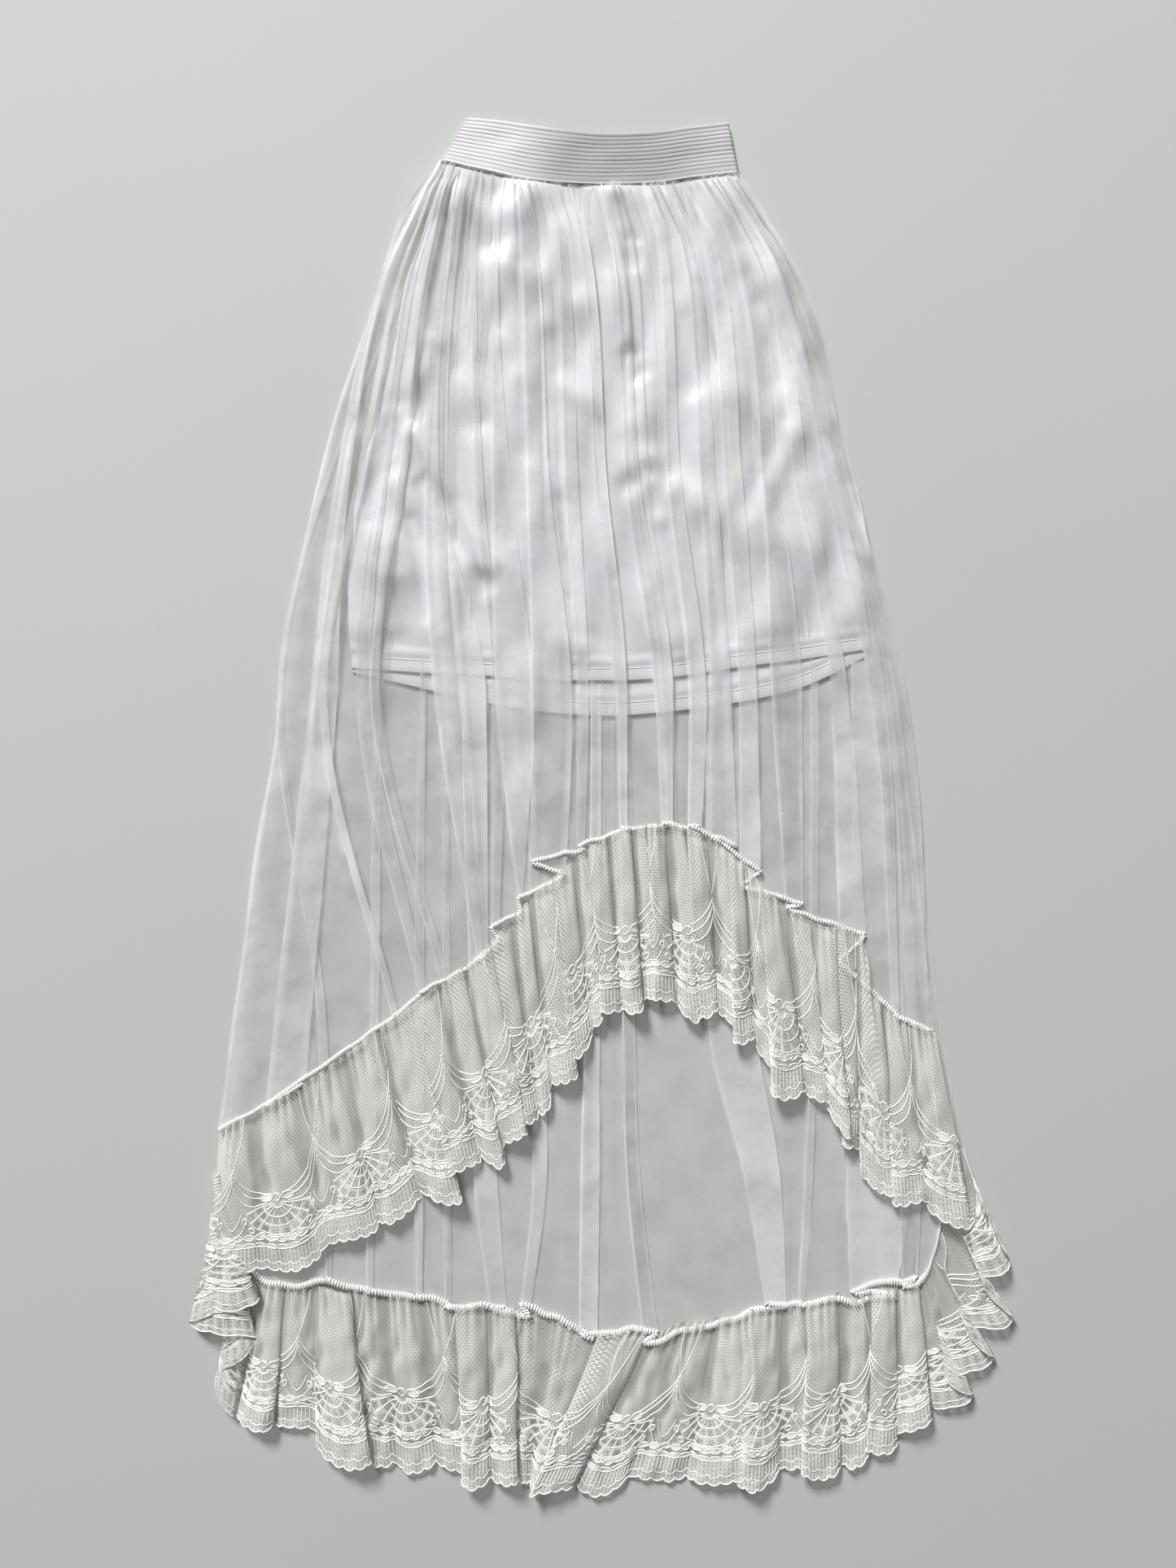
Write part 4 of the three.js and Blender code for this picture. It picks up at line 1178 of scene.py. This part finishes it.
def lace_strip(side, ruffle, rows=36):
    """The cloth and the cords of one stretch of lace."""
    low, high = ruffle.u[0], ruffle.u[-1]
    count = int((high - low) / 1.45)
    u = np.linspace(low, high, count)[None, :]
    v = np.linspace(0, 1, rows)[:, None] ** 0.9 * lace_edge(u)
    u = np.broadcast_to(u, v.shape)
    points = ruffle.place(u, v)
    faces = grid_faces(rows, count)
    uv = np.stack([u, v], -1).reshape(-1, 2)
    # Painted shade: the lace of the side turns is made darker all over.
    looks = {
        "cover": np.clip(cover_of(points) ** 0.85, 1, 3.0),
        "relief_shade": relief_shade_of(points[..., 2]) * (0.72 if ruffle.flat else 1),
    }
    obj = mesh_object(
        "ruffle_%s_cloth" % side, points.reshape(-1, 3), faces, uv, looks, shared("lace", lace_material))
    stand_for(obj, "ruffle_" + side)
    cords = lace_cords("ruffle_%s_cords" % side, ruffle)


def along(line_y):
    """A line given by its height at each x."""
    return lambda x: (x, line_y(x))


def side_lines(rows):
    """Seam and edge of a side turn, each by the number of its tier."""
    data = [(k, *row) for k, row in enumerate(rows)]
    f = [curve(data, c) for c in (1, 2, 3, 4)]
    return lambda t: (f[0](t), f[1](t)), lambda t: (f[2](t), f[3](t))


def side_flutes(count, seed):
    """One flute a tier, with uneven heights, tucks and leans."""
    rng = np.random.default_rng(seed)
    return [(k + 0.5, k + 0.5, rng.uniform(3.5, 6.5), rng.uniform(0.1, 0.25), rng.uniform(-0.2, 0.2))
            for k in range(count)]


# Top of the front lace: the seam line, but under the wide fold on the right it stays at the upper strand.
LACE_TOP = [row for row in SEAM_FRONT if row[0] < 170] + [
    (172, -96), (200, -102), (207, -108), (214, -148), (228, -162), (265, -182),
]


class SkirtLace(bpy.types.Operator):
    """Adds the gathered lace ruffle, in its four stretches round the hem"""

    bl_idname = "skirt.lace"
    bl_label = "Lace ruffle"

    def execute(self, context):
        def front_level(share, v):
            ends = smooth(0.16, 0.06, share) + smooth(0.86, 0.94, share)
            return 2.0 + 1.6 * smooth(0, 0.3, v) * ends

        def back_level(share, v):
            return 0.3

        def left_level(share, v):
            return 0.3 + 5.0 * (1 - share) * smooth(0.1, 0.7, v)

        def right_level(share, v):
            return 0.3 + 3.5 * share * smooth(0.1, 0.7, v)

        lace_strip("front", Ruffle(
            along(curve(LACE_TOP)), along(hem_front_y), FLUTES_FRONT, ((-305.5, -314.5), (264.5, 288.5)),
            front_level, 58.5, 3))
        lace_strip("back", Ruffle(
            along(lambda x: seam_back_y(x) + ripple_back(x)), along(hem_back_y), FLUTES_BACK,
            ((-269.5, -290.5), (251.5, 259.5)), back_level, 20.0, 5))
        for side, rows, level, seed in (
                ("left", SIDE_LEFT, left_level, 6), ("right", SIDE_RIGHT, right_level, 8)):
            seam, hem = side_lines(rows)
            last = len(rows) - 1
            lace_strip(side, Ruffle(
                seam, hem, side_flutes(last, seed), ((0, 0), (last, last)), level, 30.0, seed, 0.35,
                None, 16.0))
        return {"FINISHED"}


# Sewing


def sewing_tree():
    """Geometry nodes: a round cord along a line, wound with thread loops at a fixed pitch."""
    tree = bpy.data.node_groups.new("rolled_seam", "GeometryNodeTree")
    face = tree.interface
    face.new_socket("Geometry", in_out="INPUT", socket_type="NodeSocketGeometry")
    for name, default in (
            ("Cord Radius", 0.001), ("Pitch", 0.0016), ("Loop Radius", 0.0012), ("Thread Radius", 0.0003),
            ("Slant", 0.5)):
        socket = face.new_socket(name, in_out="INPUT", socket_type="NodeSocketFloat")
        socket.default_value = default
    face.new_socket("Material", in_out="INPUT", socket_type="NodeSocketMaterial")
    face.new_socket("Geometry", in_out="OUTPUT", socket_type="NodeSocketGeometry")
    nodes, links = tree.nodes, tree.links
    given = nodes.new("NodeGroupInput")
    result = nodes.new("NodeGroupOutput")

    def add(kind, inputs, **chosen):
        """A node. Each input is a number, a node, or the name of an input of the tree."""
        node = nodes.new(kind)
        for key, value in chosen.items():
            setattr(node, key, value)
        for key, value in inputs.items():
            if isinstance(value, str):
                links.new(given.outputs[value], node.inputs[key])
            elif isinstance(value, bpy.types.Node):
                links.new(value.outputs[0], node.inputs[key])
            else:
                node.inputs[key].default_value = value
        return node

    line = add("GeometryNodeMeshToCurve", {0: "Geometry"})
    even = add("GeometryNodeResampleCurve", {"Curve": line, "Length": 0.0018}, mode="LENGTH")
    ring = add("GeometryNodeCurvePrimitiveCircle", {"Resolution": 8, "Radius": "Cord Radius"})
    cord = add("GeometryNodeCurveToMesh", {"Curve": even, "Profile Curve": ring, "Fill Caps": True})
    steps = add("GeometryNodeResampleCurve", {"Curve": line, "Length": "Pitch"}, mode="LENGTH")
    hoop = add("GeometryNodeCurvePrimitiveCircle", {"Resolution": 10, "Radius": "Loop Radius"})
    strand = add("GeometryNodeCurvePrimitiveCircle", {"Resolution": 5, "Radius": "Thread Radius"})
    loop = add("GeometryNodeCurveToMesh", {"Curve": hoop, "Profile Curve": strand})
    slant = add("ShaderNodeCombineXYZ", {0: "Slant"})
    tangent = add("GeometryNodeInputTangent", {})
    lean = add("ShaderNodeVectorMath", {0: tangent, 1: slant}, operation="ADD")
    turn = add("FunctionNodeAlignRotationToVector", {"Vector": lean}, axis="Z")
    wound = add("GeometryNodeInstanceOnPoints", {"Points": steps, "Instance": loop, "Rotation": turn})
    both = add("GeometryNodeJoinGeometry", {0: cord})
    links.new(wound.outputs[0], both.inputs[0])
    real = add("GeometryNodeRealizeInstances", {0: both})
    paint = add("GeometryNodeSetMaterial", {0: real, "Material": "Material"})
    links.new(paint.outputs[0], result.inputs[0])
    return tree


def stitched(name, path, node, material, **sizes):
    """Runs the seam tree on a line of points and gives the finished plain mesh."""
    tree = bpy.data.node_groups.get("rolled_seam") or sewing_tree()
    mesh = bpy.data.meshes.new(name + "_line")
    mesh.from_pydata(in_frame(path).tolist(), [(k, k + 1) for k in range(len(path) - 1)], [])
    guide = linked(name + "_line", mesh)
    modifier = guide.modifiers.new("seam", "NODES")
    modifier.node_group = tree
    keys = {item.name: item.identifier for item in tree.interface.items_tree if item.in_out == "INPUT"}
    for key, value in sizes.items():
        modifier[keys[key.replace("_", " ").title()]] = value
    modifier[keys["Material"]] = material
    bpy.context.view_layer.update()
    graph = bpy.context.evaluated_depsgraph_get()
    made = bpy.data.meshes.new_from_object(guide.evaluated_get(graph))
    made.name = name
    made.polygons.foreach_set("use_smooth", np.full(len(made.polygons), True))
    bpy.data.objects.remove(guide)
    return stand_for(linked(name, made), node)


def softened(path, times=3):
    """The same line with its corners rounded."""
    p = np.asarray(path, float)
    for _ in range(times):
        a, b = p[:-1], p[1:]
        cut = np.stack([0.8 * a + 0.2 * b, 0.2 * a + 0.8 * b], 1).reshape(-1, 3)
        p = np.concatenate([p[:1], cut, p[-1:]])
    return p


def spaced(path, step):
    """The same line with its points a step apart."""
    p = np.asarray(path, float)
    run = run_of(p)
    s = np.linspace(0, run[-1], max(2, int(run[-1] / step)))
    return np.stack([np.interp(s, run, p[:, k]) for k in range(3)], -1)


def pressed(obj, path, wide, low):
    """Flattens a wound cord about its own line, and thins it where it turns at the right side."""
    line = in_frame(spaced(path, 1.0))
    points = np.empty(len(obj.data.vertices) * 3, np.float32)
    obj.data.vertices.foreach_get("co", points)
    points = points.reshape(-1, 3)
    batch = 4000
    for start in range(0, len(points), batch):
        part = points[start:start + batch]
        far = ((part[:, None, :2] - line[None, :, :2]) ** 2).sum(-1)
        middle = line[np.argmin(far, 1)]
        thin = (1 - 0.6 * smooth(0.253, 0.262, middle[:, 0]))[:, None]
        points[start:start + batch] = middle + (part - middle) * (wide, wide, low) * thin
    obj.data.vertices.foreach_set("co", points.ravel())
    obj.data.update()


class SkirtSewing(bpy.types.Operator):
    """Adds the rolled seams, the hem stitching and the stitching under the waistband"""

    bl_idname = "skirt.sewing"
    bl_label = "Seams and stitches"

    def execute(self, context):
        look, _ = settings()
        thread = shared("seam", lambda: plain_material("seam", look.seam, 0.7, 0.3))
        front = spaced(softened(cord_path(KEPT["seam_front"])), 2.4)
        front[:, 2] = np.maximum(front[:, 2], 3.0) + 0.7 + 0.5 * waves(front[:, 0], front[:, 1], 18, 15)
        left = [(x, y, 1.2) for x, y, _, _ in SIDE_LEFT[:-1]]
        right = [(x, y, 1.2) for x, y, _, _ in SIDE_RIGHT[1:]]
        back = cord_path(KEPT["seam_back"])
        back[:, 2] = np.maximum(back[:, 2], 0.9) + 0.7
        back = spaced(softened(np.concatenate([left, back, right])), 2.4)
        back[:, 2] += 0.6 + 0.6 * waves(back[:, 0], back[:, 1], 20, 22)
        for side, path, radius, wide, low in (
                ("front", front, 0.00105, 1.5, 0.7), ("back", back, 0.00145, 1.6, 0.75)):
            cord = stitched(
                "seam_%s_cord" % side, path, "hem_seam_" + side, thread, cord_radius=radius, pitch=0.0024,
                loop_radius=radius * 1.15, thread_radius=0.0005, slant=0.7)
            pressed(cord, path, wide, low)
        for side in ("front", "back"):
            for row, down in enumerate((0.0, -2.2)):
                line = spaced(KEPT["stitch_" + side] + (0, down, 0.15), 4.0)
                stitched(
                    "stitch_lining_%s_%d" % (side, row), line, None, thread, cord_radius=0.00034,
                    pitch=0.0028, loop_radius=0.00045, thread_radius=0.0002, slant=0.2)
        stitched(
            "stitch_waistband", spaced(KEPT["band_foot"], 4.0), None, thread, cord_radius=0.0003,
            pitch=0.0024, loop_radius=0.00045, thread_radius=0.0002, slant=0.3)
        return {"FINISHED"}


# Stage


def area_light(name, place, size, power, colour):
    """A square soft light that points at the origin."""
    data = bpy.data.lights.new(name, "AREA")
    data.shape = "RECTANGLE"
    data.size = data.size_y = size
    data.energy = power
    data.color = colour
    light = linked(name, data)
    light.location = place
    light.rotation_euler = (-Vector(place)).to_track_quat("-Z", "Y").to_euler()


class SkirtStage(bpy.types.Operator):
    """Adds the board, the soft light and the camera straight above"""

    bl_idname = "skirt.stage"
    bl_label = "Board, light and camera"

    def execute(self, context):
        scene = context.scene
        mesh = bpy.data.meshes.new("board")
        mesh.from_pydata([(-3, -3, 0), (3, -3, 0), (3, 3, 0), (-3, 3, 0)], [], [(0, 1, 2, 3)])
        mesh.materials.append(shared("board", board_material))
        board = linked("board", mesh)
        area_light("window", (-3.0, 6.8, 4.9), 2.2, 1040, (1.0, 1.0, 0.99))
        world = bpy.data.worlds.new("room")
        scene.world = world
        world.use_nodes = True
        room = world.node_tree.nodes["Background"].inputs
        room["Color"].default_value = (0.95, 0.97, 1.0, 1)
        room["Strength"].default_value = 0.165
        scene.view_settings.view_transform = "Standard"
        scene.cycles.transparent_max_bounces = 48
        data = bpy.data.cameras.new("camera")
        data.lens = 26
        data.sensor_width = 36
        data.clip_start, data.clip_end = 0.05, 20
        camera = linked("camera", data)
        camera.location = (*in_frame((-11.4, 15.3, 0))[:2], 0.9047)
        scene.camera = camera
        return {"FINISHED"}


class SkirtPanel(bpy.types.Panel):
    """Buttons and settings of the lace skirt"""

    bl_idname = "VIEW3D_PT_lace_skirt"
    bl_label = "Lace skirt"
    bl_space_type = "VIEW_3D"
    bl_region_type = "UI"
    bl_category = "Lace skirt"

    def draw(self, context):
        look, size = settings()
        for group in (look, size):
            for name in type(group).__annotations__:
                self.layout.prop(group, name)
        for step in STEPS:
            self.layout.operator(step.bl_idname)


STEPS = (SkirtLining, SkirtNet, SkirtBand, SkirtLace, SkirtSewing, SkirtStage)
CLASSES = (SkirtLook, SkirtSize, *STEPS, SkirtPanel)


def register():
    for cls in CLASSES:
        bpy.utils.register_class(cls)
    bpy.types.Scene.skirt_look = bpy.props.PointerProperty(type=SkirtLook)
    bpy.types.Scene.skirt_size = bpy.props.PointerProperty(type=SkirtSize)


def unregister():
    del bpy.types.Scene.skirt_size
    del bpy.types.Scene.skirt_look
    for cls in reversed(CLASSES):
        bpy.utils.unregister_class(cls)


def main():
    register()
    for step in STEPS:
        group, name = step.bl_idname.split(".")
        getattr(getattr(bpy.ops, group), name)()


if __name__ == "__main__":
    main()
